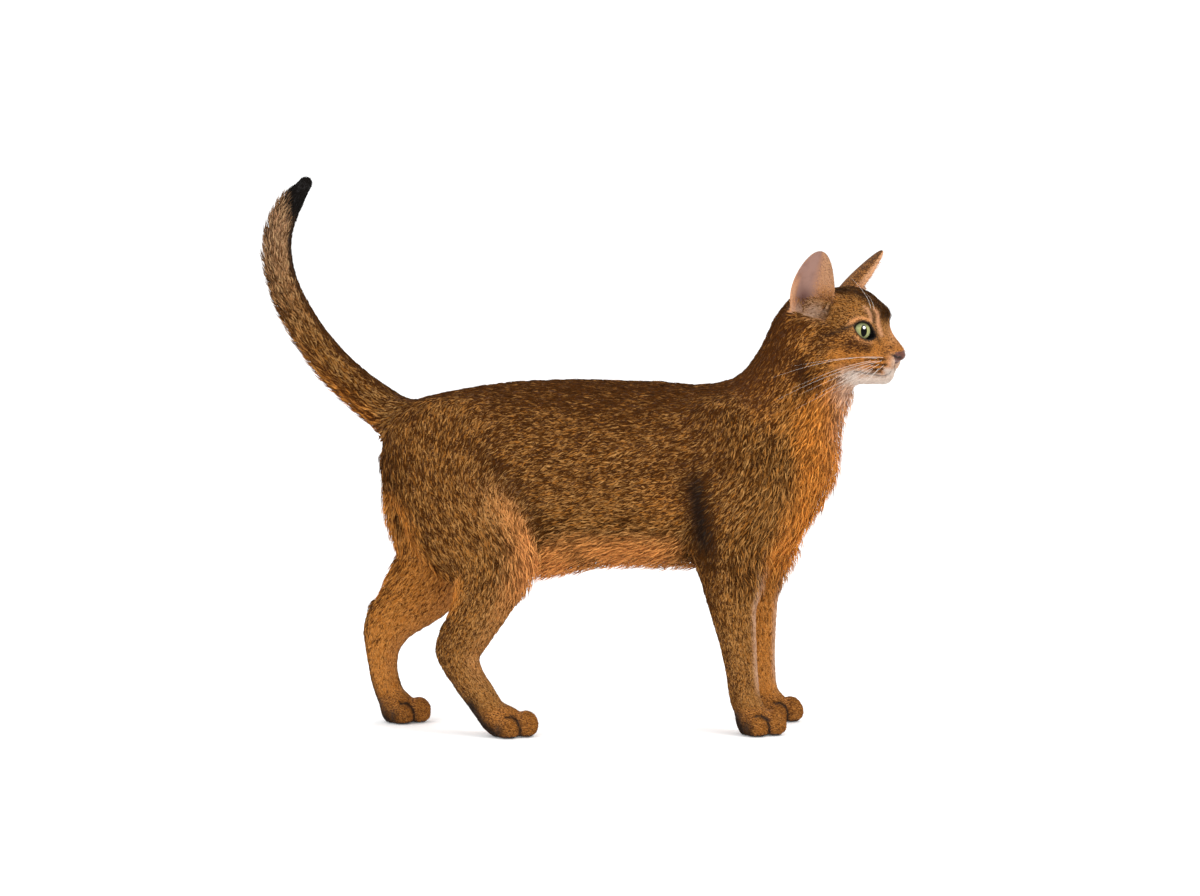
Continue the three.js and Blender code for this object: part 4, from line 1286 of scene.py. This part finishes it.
def leaves(at, n, way, size, rng):
    # closed tufts of six faces: a root, two sides and a ridge halfway, and a bent tip
    roll = rng.normal(0, hair["roll"], len(at))[:, None]
    yaw = rng.normal(0, hair["stray"], len(at))[:, None]
    side = np.cross(n, way)
    way = unit(way + side * yaw)
    side = unit(np.cross(n, way))
    lift = np.radians(size["lift"] * rng.uniform(*hair["lifts"], len(at)))[:, None]
    ahead = way * np.cos(lift) + n * np.sin(lift)
    bent = way * np.cos(lift * hair["bend"]) + n * np.sin(lift * hair["bend"])
    up = unit(np.cross(ahead, side) * np.cos(roll) + side * np.sin(roll))
    side = unit(np.cross(up, ahead))
    long = (size["length"] * rng.uniform(*hair["lengths"], len(at)))[:, None]
    wide = (size["width"] * rng.uniform(*hair["widths"], len(at)))[:, None]
    root = at - n * hair["sink"]
    waist = root + ahead * long * hair["waist"]
    points = np.stack([
        root, waist - side * wide / 2, waist + side * wide / 2, waist + up * wide * hair["ridge"],
        waist + bent * long * (1 - hair["waist"]),
    ], 1)
    points[..., 2] = np.maximum(points[..., 2], hair["overFloor"])
    first = np.arange(len(at))[:, None] * 5
    corners = ([0, 2, 1], [4, 1, 2], [0, 1, 3], [0, 3, 2], [4, 3, 1], [4, 2, 3])
    return points.reshape(-1, 3), np.concatenate([first + c for c in corners])


def latticeNoise(p, cell, salt):
    # smooth noise from 0 to 1 out of a lattice of scattered values
    q = p / cell
    base = np.floor(q).astype(np.int64)
    w = q - base
    w = w * w * (3 - 2 * w)
    total = np.zeros(len(p))
    # large numbers that share no factors scatter the bits of a corner's place
    for corner in np.ndindex(2, 2, 2):
        k = (base + corner) * [73856093, 19349663, 83492791]
        mixed = (k[:, 0] ^ k[:, 1] ^ k[:, 2] ^ salt * 2654435) & 0xffffffff
        mixed = ((mixed ^ (mixed >> 15)) * 739982445) & 0xffffffff
        mixed = ((mixed ^ (mixed >> 12)) * 695872825) & 0xffffffff
        share = np.prod(np.where(corner, w, 1 - w), axis=1)
        total += share * ((mixed ^ (mixed >> 15)) & 0xffff) / 65535
    return total


def streaks(p, way, cell, reach, salt):
    # noise drawn out along the lie of the coat, spread evenly from 0 to 1
    total = sum(latticeNoise(p + way * t, cell, salt) for t in np.linspace(-reach, reach, 5))
    return 0.5 + 0.5 * np.tanh(1.1 * (total - total.mean()) / total.std())


def coatUv(at, axis):
    # a place along the region's axis and the angle round it, both from 0 to 1
    path = axis["path"]
    best = np.full(len(at), far)
    place, centre, way = np.zeros(len(at)), np.zeros_like(at), np.zeros_like(at)
    for i, (a, b) in enumerate(zip(path[:-1], path[1:])):
        t = np.clip(((at - a) @ (b - a)) / ((b - a) @ (b - a)), 0, 1)
        spot = a + t[:, None] * (b - a)
        away = np.linalg.norm(at - spot, axis=1)
        near = away < best
        best = np.where(near, away, best)
        place = np.where(near, (i + t) / (len(path) - 1), place)
        centre[near], way[near] = spot[near], (b - a) / np.linalg.norm(b - a)
    # past the ends the place runs on, so that the cap isn't pressed into one line
    place = place + ((at - centre) * way).sum(1) / 300
    out = at - centre
    return place, np.arctan2(out[:, 1], (out * unit(np.cross(way, [0.0, 1, 0]))).sum(1))


def floats(mesh, name, values):
    mesh.attributes.new(name, "FLOAT", "POINT").data.foreach_set("value", values.astype(np.float32))


def coatPiece(name, slotName, made, u, v):
    # the tufts of one region as one mesh, with their tones and their place on the unwrap
    rng = np.random.default_rng([seed, len(name), len(u)])
    verts, faces = leaves(made["at"], made["normal"], made["way"], made, rng)
    obj = meshObject(name, verts, faces, smooth=False)
    count = len(made["at"])
    mesh = obj.data
    floats(mesh, "along", np.tile(hair["along"], count))
    floats(mesh, "chance", np.repeat(made["streak"], 5))
    floats(mesh, "shade", np.repeat(rng.random(count), 5))
    for tone in tones:
        floats(mesh, tone, np.repeat(made[tone], 5))
    u, v = (0.01 + 0.98 * (w - w.min()) / np.ptp(w) for w in (u, v))
    half = hair["patch"] / 2
    across, up = np.array([0, -half, half, 0, 0]), np.array([-half, 0, 0, 0, half])
    corners = np.stack([u[:, None] + across, v[:, None] + up], -1).reshape(-1, 2)
    loops = np.empty(len(mesh.loops), np.int32)
    mesh.loops.foreach_get("vertex_index", loops)
    mesh.uv_layers.new(name="OFBake").data.foreach_set("uv", corners[loops].astype(np.float32).ravel())
    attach(obj, "root")
    print(name, count, "tufts")
    return obj


def skullUv(p):
    # the angle round the muzzle's axis and the angle from it
    m = intoHead(p) - skullCore
    return np.arctan2(m[:, 1], -m[:, 2]), np.arccos(np.clip(unit(m)[:, 0], -1, 1))


def earUv(side, p):
    # the cup's inside and its back lie side by side
    e = intoEar(side, p)
    across = np.clip(e["u"], -1.3, 1.3) * 0.17
    return np.where(e["from"] < 0, 0.25, 0.75) + across, e["rise"]


verts, faces = skinWithEars()
skinNormals = vertexNormals(verts, faces)
surveyed = survey(verts)
surveyed["crest"] = crestOf(skinNormals, surveyed)
flow = coatFlow(verts, skinNormals, faces, surveyed)
toneValues = markings(verts, skinNormals, surveyed)
tones = list(toneValues)
sizes = hairSizes(verts, skinNormals, surveyed, toneValues)
print("markings and lie of the coat are set")

skin = meshObject("skin", verts, faces)
for tone in tones:
    floats(skin.data, tone, toneValues[tone])
flesh = [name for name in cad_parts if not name.startswith("eye_")]
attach(skin, "root")
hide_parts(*flesh)


def sow():
    # the root of every tuft, with its size, its tones and the piece that it belongs to
    density = hair["cover"] / (0.5 * sizes["length"] * sizes["width"]) * sizes["keep"]
    rng = np.random.default_rng(seed)
    owner, share = sown(verts, faces, density, rng)

    def spread(values):
        return np.einsum("ij,ij...->i...", share, values[faces[owner]])

    spot = {"at": spread(verts), "normal": unit(spread(skinNormals)), "way": unit(spread(flow))}
    for name in ("length", "width", "lift"):
        spot[name] = spread(sizes[name])
    for name in tones:
        spot[name] = spread(toneValues[name])
    # dark and light hairs lie in short streaks, evenly spread from 0 to 1
    streak = ticking["fineShare"] * streaks(spot["at"], spot["way"], *ticking["fine"])
    streak = streak + ticking["scatter"] * rng.random(len(owner))
    streak += ticking["broadShare"] * streaks(spot["at"], spot["way"], *ticking["broad"])
    streak = np.argsort(np.argsort(streak)) / len(owner)
    # feet, ears and muzzle are hardly ticked
    corner = faces[owner, 0]
    onEar = {side.capitalize(): surveyed["ear" + side.capitalize()]["on"][corner] for side in sides}
    onEars = onEar["Right"] | onEar["Left"]
    x, y, z = spot["at"].T
    muzzle = smoothStep(42, 18, np.linalg.norm(intoHead(spot["at"]) - hair["muzzle"], axis=1))
    even = ticking["even"] * np.maximum.reduce([smoothStep(40, 24, z), 1.35 * onEars, 0.8 * muzzle])
    spot["streak"] = streak + (0.5 - streak) * even

    away = {name: surveyed[name]["away"][corner] for name in [*chains, "head", *("paw" + k for k in feet)]}
    groups = {
        "Head": away["head"], "Neck": away["neck"], "Tail": away["tail"] + 0.5,
        "Trunk": np.minimum.reduce([away["trunk"], away["breast"], away["belly"]]),
    }
    for name in limbs:
        groups[name[0].upper() + name[1:]] = away[name]
        groups["Paw" + name[0].upper() + name[1:]] = np.where(z < 34, away["paw" + name] - 3, far)
    nearest = np.argmin(np.stack(list(groups.values())), 0)
    rightHead = intoHead(spot["at"])[:, 1] < 0
    right, rear = y < 0, x < hair["splitAt"]
    region = {"coatEar" + side: on for side, on in onEar.items()}
    for i, name in enumerate(groups):
        mine = (nearest == i) & ~onEars
        if name == "Head":
            region["coatHeadRight"], region["coatHeadLeft"] = mine & rightHead, mine & ~rightHead
        elif name == "Trunk":
            for side, here in (("Right", right), ("Left", ~right)):
                region["coatFront" + side] = mine & here & ~rear
                region["coatRear" + side] = mine & here & rear
        else:
            region["coat" + name] = mine
    return spot, region


spot, regions = sow()
pieceAxes = {"Neck": neck, "Tail": tail, "Front": trunk, "Rear": trunk}
for name in limbs:
    pieceAxes[name[0].upper() + name[1:]] = limbs[name]["leg"]
coat = []
for name, region in regions.items():
    short = name[4:]
    made = {k: values[region] for k, values in spot.items()}
    if short.startswith("Ear"):
        slotName, (u, v) = "ear_skin", earUv(short[3:].lower(), made["at"])
    elif short.startswith("Head"):
        slotName, (u, v) = "coat_face", skullUv(made["at"])
    elif short.startswith("Paw"):
        x, y, _ = feet[short[3].lower() + short[4:]]
        slotName, (u, v, _) = "coat_foot", unit(made["at"] - [x, y, -12]).T
    else:
        axis = next(a for k, a in pieceAxes.items() if short.startswith(k))
        slotName = "coat_leg" if short.startswith(("Fore", "Hind")) else "coat_back"
        u, v = coatUv(made["at"], axis)
    coat.append(coatPiece(name, slotName, made, u, v))
print("coat", sum(int(r.sum()) for r in regions.values()), "tufts")


# the finishes
def tint(code):
    # a colour given as red, green and blue in hexadecimal, for a shader
    parts = [int(code[i:i + 2], 16) / 255 for i in (0, 2, 4)]
    return tuple(c / 12.92 if c <= 0.04045 else ((c + 0.055) / 1.055) ** 2.4 for c in parts) + (1.0,)


class Value:
    # a shader socket that can be added to, multiplied and so on
    def __init__(self, finish, socket):
        self.finish, self.socket = finish, socket

    def sum(self, operation, *others):
        return self.finish.node("Math", {"operation": operation}, dict(enumerate([self, *others])))

    def __add__(self, other): return self.sum("ADD", other)
    def __sub__(self, other): return self.sum("SUBTRACT", other)
    def __mul__(self, other): return self.sum("MULTIPLY", other)
    def __truediv__(self, other): return self.sum("DIVIDE", other)
    def __pow__(self, other): return self.sum("POWER", other)
    def __neg__(self): return self.sum("MULTIPLY", -1.0)
    def __rsub__(self, other): return (-self).sum("ADD", other)
    __radd__, __rmul__ = __add__, __mul__

    def most(self, other): return self.sum("MAXIMUM", other)

    def between(self, low, high):
        # 0 below low, 1 above high, smooth in between
        settings = {"interpolation_type": "SMOOTHSTEP"}
        return self.finish.node("MapRange", settings, {"Value": self, "From Min": low, "From Max": high})


class Finish:
    # a material whose nodes are made by calls
    def __init__(self, name):
        self.material = bpy.data.materials.new(name)
        self.material.use_nodes = True
        self.tree = self.material.node_tree
        self.tree.nodes.clear()

    def node(self, kind, settings=None, sockets=None, output=0):
        made = self.tree.nodes.new("ShaderNode" + kind)
        for name, value in (settings or {}).items():
            setattr(made, name, value)
        for name, value in (sockets or {}).items():
            if isinstance(value, Value):
                self.tree.links.new(value.socket, made.inputs[name])
            else:
                made.inputs[name].default_value = value
        return Value(self, made.outputs[output])

    def attribute(self, name):
        return self.node("Attribute", {"attribute_name": name}, output="Fac")

    def place(self, scale=(1, 1, 1)):
        spot = self.node("TexCoord", output="Object")
        return self.node("Mapping", {}, {"Vector": spot, "Scale": scale})

    def noise(self, scale, detail=2.0, where=None):
        return self.node("TexNoise", {}, {"Vector": where or self.place(), "Scale": scale, "Detail": detail})

    def mix(self, share, a, b):
        return self.node("Mix", {"data_type": "RGBA"}, {0: share, 6: a, 7: b}, output=2)

    def bump(self, height, strength, distance):
        return self.node("Bump", {}, {"Height": height, "Strength": strength, "Distance": distance})

    def surface(self, **sockets):
        names = {name.replace("_", " "): value for name, value in sockets.items()}
        shader = self.node("BsdfPrincipled", {}, names)
        out = self.tree.nodes.new("ShaderNodeOutputMaterial")
        self.tree.links.new(shader.socket, out.inputs["Surface"])
        return self.material


palette = {
    "straw": tint("9e7a4a"), "ginger": tint("84531c"), "brown": tint("4a2804"), "espresso": tint("281300"),
    "root": tint("281400"), "umber": tint("5f3210"), "apricot": tint("e89843"), "amber": tint("c67628"),
    "cream": tint("d9cdc2"), "coal": tint("100c0a"), "rose": tint("957265"), "plum": tint("54352f"),
    "brick": tint("6b4134"), "brickDark": tint("2c1512"),
}


def coatColour(f, chance, shade, along):
    # chance says whether a hair is dark or light, and shade varies either
    c = palette
    sable, warm, pale, black = (f.attribute(name) for name in ("sable", "warm", "pale", "black"))
    ticking = (chance + sable - 1.0).between(-0.42, 0.3)
    light = f.mix(warm, f.mix(shade, c["ginger"], c["straw"]), f.mix(shade, c["amber"], c["apricot"]))
    light = f.mix(pale, light, c["cream"])
    dark = f.mix(warm * 0.6, f.mix(shade, c["espresso"], c["brown"]), c["umber"])
    colour = f.mix(ticking * (1 - 0.7 * pale), light, dark)
    # the root of a tuft lies in the shade of the others
    root = (0.75 - 0.35 * pale) * (1 - along * 1.9)
    colour = f.mix(root.most(0.0), colour, c["root"])
    return f.mix(black, colour, c["coal"])


def hairFinish():
    f = Finish("ticked hair")
    chance, shade, along = f.attribute("chance"), f.attribute("shade"), f.attribute("along")
    colour = coatColour(f, chance, shade, along)
    return f.surface(Base_Color=colour, Roughness=0.62 + 0.2 * chance, Specular_IOR_Level=0.06)


def skinFinish():
    f = Finish("skin under the coat")
    strokes = f.noise(1300, 3, f.place((0.4, 1, 1)))
    fine = f.noise(2600, 2)
    colour = coatColour(f, strokes.between(0.3, 0.7), fine.between(0.3, 0.7), 0.4)
    bare, leather, black = f.attribute("bare"), f.attribute("leather"), f.attribute("black")
    veins = f.noise(120, 3).between(0.4, 0.8) * 0.3
    lining = f.mix(veins, palette["rose"], palette["plum"])
    # black within the ear, the painted shade of its cup, turns the lining plum
    lining = f.mix(black, lining, palette["plum"])
    colour = f.mix(bare, colour, lining)
    grain = f.node("TexVoronoi", {}, {"Vector": f.place(), "Scale": 1500.0}, output="Distance")
    brick = f.mix(grain.between(0.2, 1.1), palette["brick"], palette["brickDark"])
    # black on the leather, such as the nostrils' painted shade, turns it coal dark
    brick = f.mix(black, brick, palette["coal"])
    colour = f.mix(leather, colour, brick)
    height = strokes * 0.5 + fine * 0.3 - grain * leather * 0.6
    rough = 0.8 - 0.38 * leather - 0.1 * bare
    normal = f.bump(height, 0.5, 0.0004)
    return f.surface(Base_Color=colour, Roughness=rough, Normal=normal, Specular_IOR_Level=0.25)


def dress(obj, material):
    obj.data.materials.clear()
    obj.data.materials.append(material)


hairLook = hairFinish()
for piece in coat:
    dress(piece, hairLook)
dress(skin, skinFinish())
print("coat and skin are finished")


# the eyes
eyeSettings = {
    "look": math.radians(46), "iris": 7.4, "pupil": (2.8, 4.7), "cornea": 0.75,
    # the glint is a painted highlight: its place across and up on the eye, and its size
    "glint": (-0.03, 0.25, 0.12), "rings": 48, "spokes": 64,
}
eyeColours = {
    "dull": tint("7d8152"), "bright": tint("aaab7c"), "blotch": tint("9b9d68"), "middle": tint("9a9a5a"),
    # the eye's white is painted nearly black: painted shade
    "rim": tint("20200f"), "white": tint("1a1310"), "lidShade": tint("12140a"), "pupil": tint("030303"),
    # the colour of the painted highlight
    "glint": tint("ffffff"),
}


def eyeball(side):
    # a ball whose pole is the middle of the pupil, with the cornea's low dome
    s = eyeSettings
    polar = np.linspace(0, 1, s["rings"] + 1)[1:-1] ** 1.25 * math.pi
    turn = np.arange(s["spokes"]) / s["spokes"] * 2 * math.pi
    a, b = np.meshgrid(polar, turn, indexing="ij")
    grid = np.stack([np.cos(a), np.sin(a) * np.cos(b), np.sin(a) * np.sin(b)], -1).reshape(-1, 3)
    local = np.concatenate([[[1.0, 0, 0]], grid, [[-1.0, 0, 0]]])
    angle = np.arccos(np.clip(local[:, 0], -1, 1))
    dome = s["cornea"] * smoothStep(1.0, 0.45, angle)
    local = local * (eye["radius"] + dome)[:, None]
    rings = s["rings"] - 1
    index = 1 + np.arange(rings * s["spokes"]).reshape(rings, s["spokes"])
    after = np.roll(index, -1, 1)
    first = np.stack([np.zeros(s["spokes"], int), index[0], after[0]], 1)
    last = np.stack([np.full(s["spokes"], len(local) - 1), after[-1], index[-1]], 1)
    a, b, c, d = index[:-1], index[1:], after[1:], after[:-1]
    walls = np.concatenate([np.stack([a, b, c], -1).reshape(-1, 3), np.stack([a, c, d], -1).reshape(-1, 3)])
    faces = np.concatenate([first, walls, last])
    m = (local @ turnAbout(s["look"]).T + eye["at"]) * [1, sides[side], 1]
    if sides[side] < 0:
        faces = faces[:, ::-1]
    obj = meshObject("eye" + side.capitalize(), fromHead(m), faces)
    gaze = obj.data.attributes.new("gaze", "FLOAT_VECTOR", "POINT")
    gaze.data.foreach_set("vector", (local / eye["radius"]).astype(np.float32).ravel())
    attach(obj, "root")
    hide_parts("eye_" + side)
    return obj


def eyeFinish():
    f = Finish("wet eye")
    s, c = eyeSettings, eyeColours
    gaze = f.node("Attribute", {"attribute_name": "gaze"}, output="Vector")
    ahead, across, up = (f.node("SeparateXYZ", {}, {"Vector": gaze}, output=i) for i in range(3))
    size = eye["radius"]
    out = (across * across + up * up) ** 0.5 * (size / s["iris"])
    spoke = f.node("Math", {"operation": "ARCTAN2"}, {0: up, 1: across})
    ring = f.node("CombineXYZ", {}, {"X": spoke * 9, "Y": out * 2.2, "Z": 0.0})
    fibres = f.noise(1.6, 3, ring)
    blotches = f.noise(3.2, 2, gaze)
    green = f.mix(fibres.between(0.25, 0.75), c["dull"], c["bright"])
    green = f.mix(blotches.between(0.4, 0.75), green, c["blotch"])
    green = f.mix(out.between(0.62, 0.42), green, c["middle"])
    green = f.mix(out.between(0.82, 1.0), green, c["rim"])
    # past the iris the white is painted nearly black, as painted shade in the corners of the opening
    colour = f.mix(out.between(0.99, 1.03), green, c["white"])
    colour = f.mix(up.between(0.2, 0.62) * 0.7, colour, c["lidShade"])
    wide, tall = s["pupil"]
    slit = across * across * (size / wide) ** 2 + up * up * (size / tall) ** 2
    colour = f.mix(slit.between(1.12, 0.92), colour, c["pupil"])
    # a painted highlight: a white spot above the pupil that stands for a lamp's reflection
    glintAcross, glintUp, glintSize = s["glint"]
    glint = ((across - glintAcross) ** 2 + (up - glintUp) ** 2) ** 0.5 / glintSize
    colour = f.mix(glint.between(1.2, 0.7), colour, c["glint"])
    return f.surface(
        Base_Color=colour, Roughness=0.4, Coat_Weight=0.1, Coat_Roughness=0.03, Specular_IOR_Level=0.02,
    )


eyeLook = eyeFinish()
for side in sides:
    dress(eyeball(side), eyeLook)
print("eyes are in")


# whiskers
whiskers = {
    "root": 0.12, "tip": 0.14, "sides": 5, "points": 14,  # millimetres; the tip as a share of the root
    "pad": [  # start, way, length and sag, for a left side
        ((22, 16, -22), (-0.55, 0.8, 0.1), 62, (-0.45, -0.1, -0.2)),
        ((17, 18.5, -22.5), (-0.7, 0.7, 0.05), 68, (-0.3, -0.1, -0.3)),
        ((22, 16, -24.5), (-0.5, 0.8, -0.15), 66, (-0.5, -0.15, -0.3)),
        ((17, 18, -25), (-0.65, 0.7, -0.15), 76, (-0.35, -0.15, -0.3)),
        ((12, 19.5, -25), (-0.75, 0.62, -0.12), 60, (-0.25, -0.1, -0.25)),
        ((20, 15.8, -27), (-0.5, 0.75, -0.4), 56, (-0.5, -0.2, -0.2)),
        ((15, 16.5, -28), (-0.62, 0.65, -0.4), 66, (-0.4, -0.2, -0.2)),
        ((19, 14.5, -30), (-0.4, 0.6, -0.7), 34, (-0.4, -0.2, 0.1)),
        ((14, 14.5, -31), (-0.5, 0.55, -0.7), 40, (-0.4, -0.1, 0.1)),
        ((24, 14, -27), (-0.3, 0.75, -0.5), 30, (-0.5, -0.2, -0.1)),
    ],
    "brow": [
        ((13, 18.5, 17), (0.1, 0.45, 0.9), 26, (-0.6, 0.1, 0.1)),
        ((15, 17, 15), (0.35, 0.45, 0.8), 18, (-0.5, 0.1, 0.1)),
    ],
    "buried": 1.5, "stray": 0.04,
}


def whiskerTree(material):
    tree = bpy.data.node_groups.new("tapered hairs", "GeometryNodeTree")
    tree.interface.new_socket("Geometry", in_out="INPUT", socket_type="NodeSocketGeometry")
    tree.interface.new_socket("Geometry", in_out="OUTPUT", socket_type="NodeSocketGeometry")
    for name, kind in (("Root Radius", "Float"), ("Tip Share", "Float"), ("Sides", "Int")):
        tree.interface.new_socket(name, in_out="INPUT", socket_type="NodeSocket" + kind)

    def add(kind, links=None, **settings):
        made = tree.nodes.new(kind)
        for name, value in settings.items():
            setattr(made, name, value)
        for name, source in (links or {}).items():
            if isinstance(source, bpy.types.NodeSocket):
                tree.links.new(source, made.inputs[name])
            else:
                made.inputs[name].default_value = source
        return made

    given = add("NodeGroupInput")
    lines = add("GeometryNodeMeshToCurve", {"Mesh": given.outputs["Geometry"]})
    along = add("GeometryNodeSplineParameter")
    thin = add("ShaderNodeMath", {0: given.outputs["Tip Share"], 1: 1.0}, operation="SUBTRACT")
    share = add(
        "ShaderNodeMath", {0: along.outputs["Factor"], 1: thin.outputs[0], 2: 1.0}, operation="MULTIPLY_ADD",
    )
    radius = add(
        "ShaderNodeMath", {0: share.outputs[0], 1: given.outputs["Root Radius"]}, operation="MULTIPLY",
    )
    ring = add("GeometryNodeCurvePrimitiveCircle", {"Resolution": given.outputs["Sides"], "Radius": 1.0})
    tube = add("GeometryNodeCurveToMesh", {
        "Curve": lines.outputs["Curve"], "Profile Curve": ring.outputs["Curve"],
        "Scale": radius.outputs[0], "Fill Caps": True,
    })
    real = add("GeometryNodeRealizeInstances", {"Geometry": tube.outputs["Mesh"]})
    painted = add("GeometryNodeSetMaterial", {"Geometry": real.outputs["Geometry"], "Material": material})
    add("NodeGroupOutput", {"Geometry": painted.outputs["Geometry"]})
    return tree


def addWhiskers():
    w = whiskers
    rng = np.random.default_rng(seed + 1)
    f = Finish("whisker")
    wear = f.noise(220, 2)
    material = f.surface(Base_Color=f.mix(wear, tint("f4efe8"), tint("dccfc0")), Roughness=0.35)
    points, edges = [], []
    for side in sides:
        for start, way, length, sag in w["pad"] + w["brow"]:
            t = np.linspace(0, 1, w["points"])[:, None]
            long = length * rng.uniform(0.9, 1.1)
            way = np.array(way) + rng.normal(0, w["stray"], 3)
            start = np.array(start, float) - unit(way) * w["buried"]
            line = start + (unit(way) * t + np.array(sag) * t * t) * long
            first = len(points) * w["points"]
            points.append(fromHead(line * [1, sides[side], 1]))
            edges.append(np.stack([first + np.arange(w["points"] - 1), first + np.arange(1, w["points"])], 1))
    mesh = bpy.data.meshes.new("whiskers")
    mesh.from_pydata((np.concatenate(points) * mm).tolist(), np.concatenate(edges).tolist(), [])
    obj = bpy.data.objects.new("whiskers", mesh)
    bpy.context.scene.collection.objects.link(obj)
    tree = whiskerTree(material)
    grown = obj.modifiers.new("whiskers", "NODES")
    grown.node_group = tree
    values = {"Root Radius": w["root"] * mm, "Tip Share": w["tip"], "Sides": w["sides"]}
    for item in tree.interface.items_tree:
        if item.item_type == "SOCKET" and item.in_out == "INPUT" and item.name in values:
            grown[item.identifier] = values[item.name]
    applied(obj)
    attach(obj, "root")
    print("whiskers", len(obj.data.polygons), "faces")


addWhiskers()


# camera, floor and light, in metres; a lamp has its place, size and power
studio = {
    "cameraAt": (0.0135, -2.3, 0.36), "pitch": math.radians(3.19), "lens": 84.15, "sensor": 36, "clip": 100,
    "key": ((1.5, -1.3, 2.2), 1.4, 30), "fill": ((-1.3, -2.0, 1.9), 1.6, 18), "aim": (0.1, 0, 0.25),
    "sky": 1.15, "floorHalf": 12,
    "glow": 0.12,  # the floor is a little lit from within
}
scene = bpy.context.scene
cameraData = bpy.data.cameras.new("camera")
cameraData.lens, cameraData.sensor_width = studio["lens"], studio["sensor"]
cameraData.clip_end = studio["clip"]
camera = bpy.data.objects.new("camera", cameraData)
camera.location = studio["cameraAt"]
camera.rotation_euler = (math.pi / 2 - studio["pitch"], 0, 0)
scene.collection.objects.link(camera)
scene.camera = camera

for name in ("key", "fill"):
    at, size, power = studio[name]
    lamp = bpy.data.lights.new(name, "AREA")
    lamp.size, lamp.energy = size, power
    holder = bpy.data.objects.new(name, lamp)
    holder.location = at
    holder.rotation_euler = (Vector(studio["aim"]) - Vector(at)).to_track_quat("-Z", "Y").to_euler()
    scene.collection.objects.link(holder)

sky = bpy.data.worlds.new("sky")
scene.world = sky
sky.use_nodes = True
sky.node_tree.nodes["Background"].inputs["Color"].default_value = (1, 1, 1, 1)
sky.node_tree.nodes["Background"].inputs["Strength"].default_value = studio["sky"]
scene.view_settings.view_transform = "Standard"

half = studio["floorHalf"] / mm
corners = [(x * half, y * half, 0) for x, y in ((-1, -1), (1, -1), (1, 1), (-1, 1))]
floor = meshObject("floor", corners, [(0, 1, 2, 3)])
f = Finish("pale floor")
dress(floor, f.surface(
    Base_Color=f.mix(f.noise(3), tint("fafafa"), tint("f7f7f7")), Roughness=0.9, Specular_IOR_Level=0.1,
    Emission_Color=(1.0, 1.0, 1.0, 1.0), Emission_Strength=studio["glow"],
))
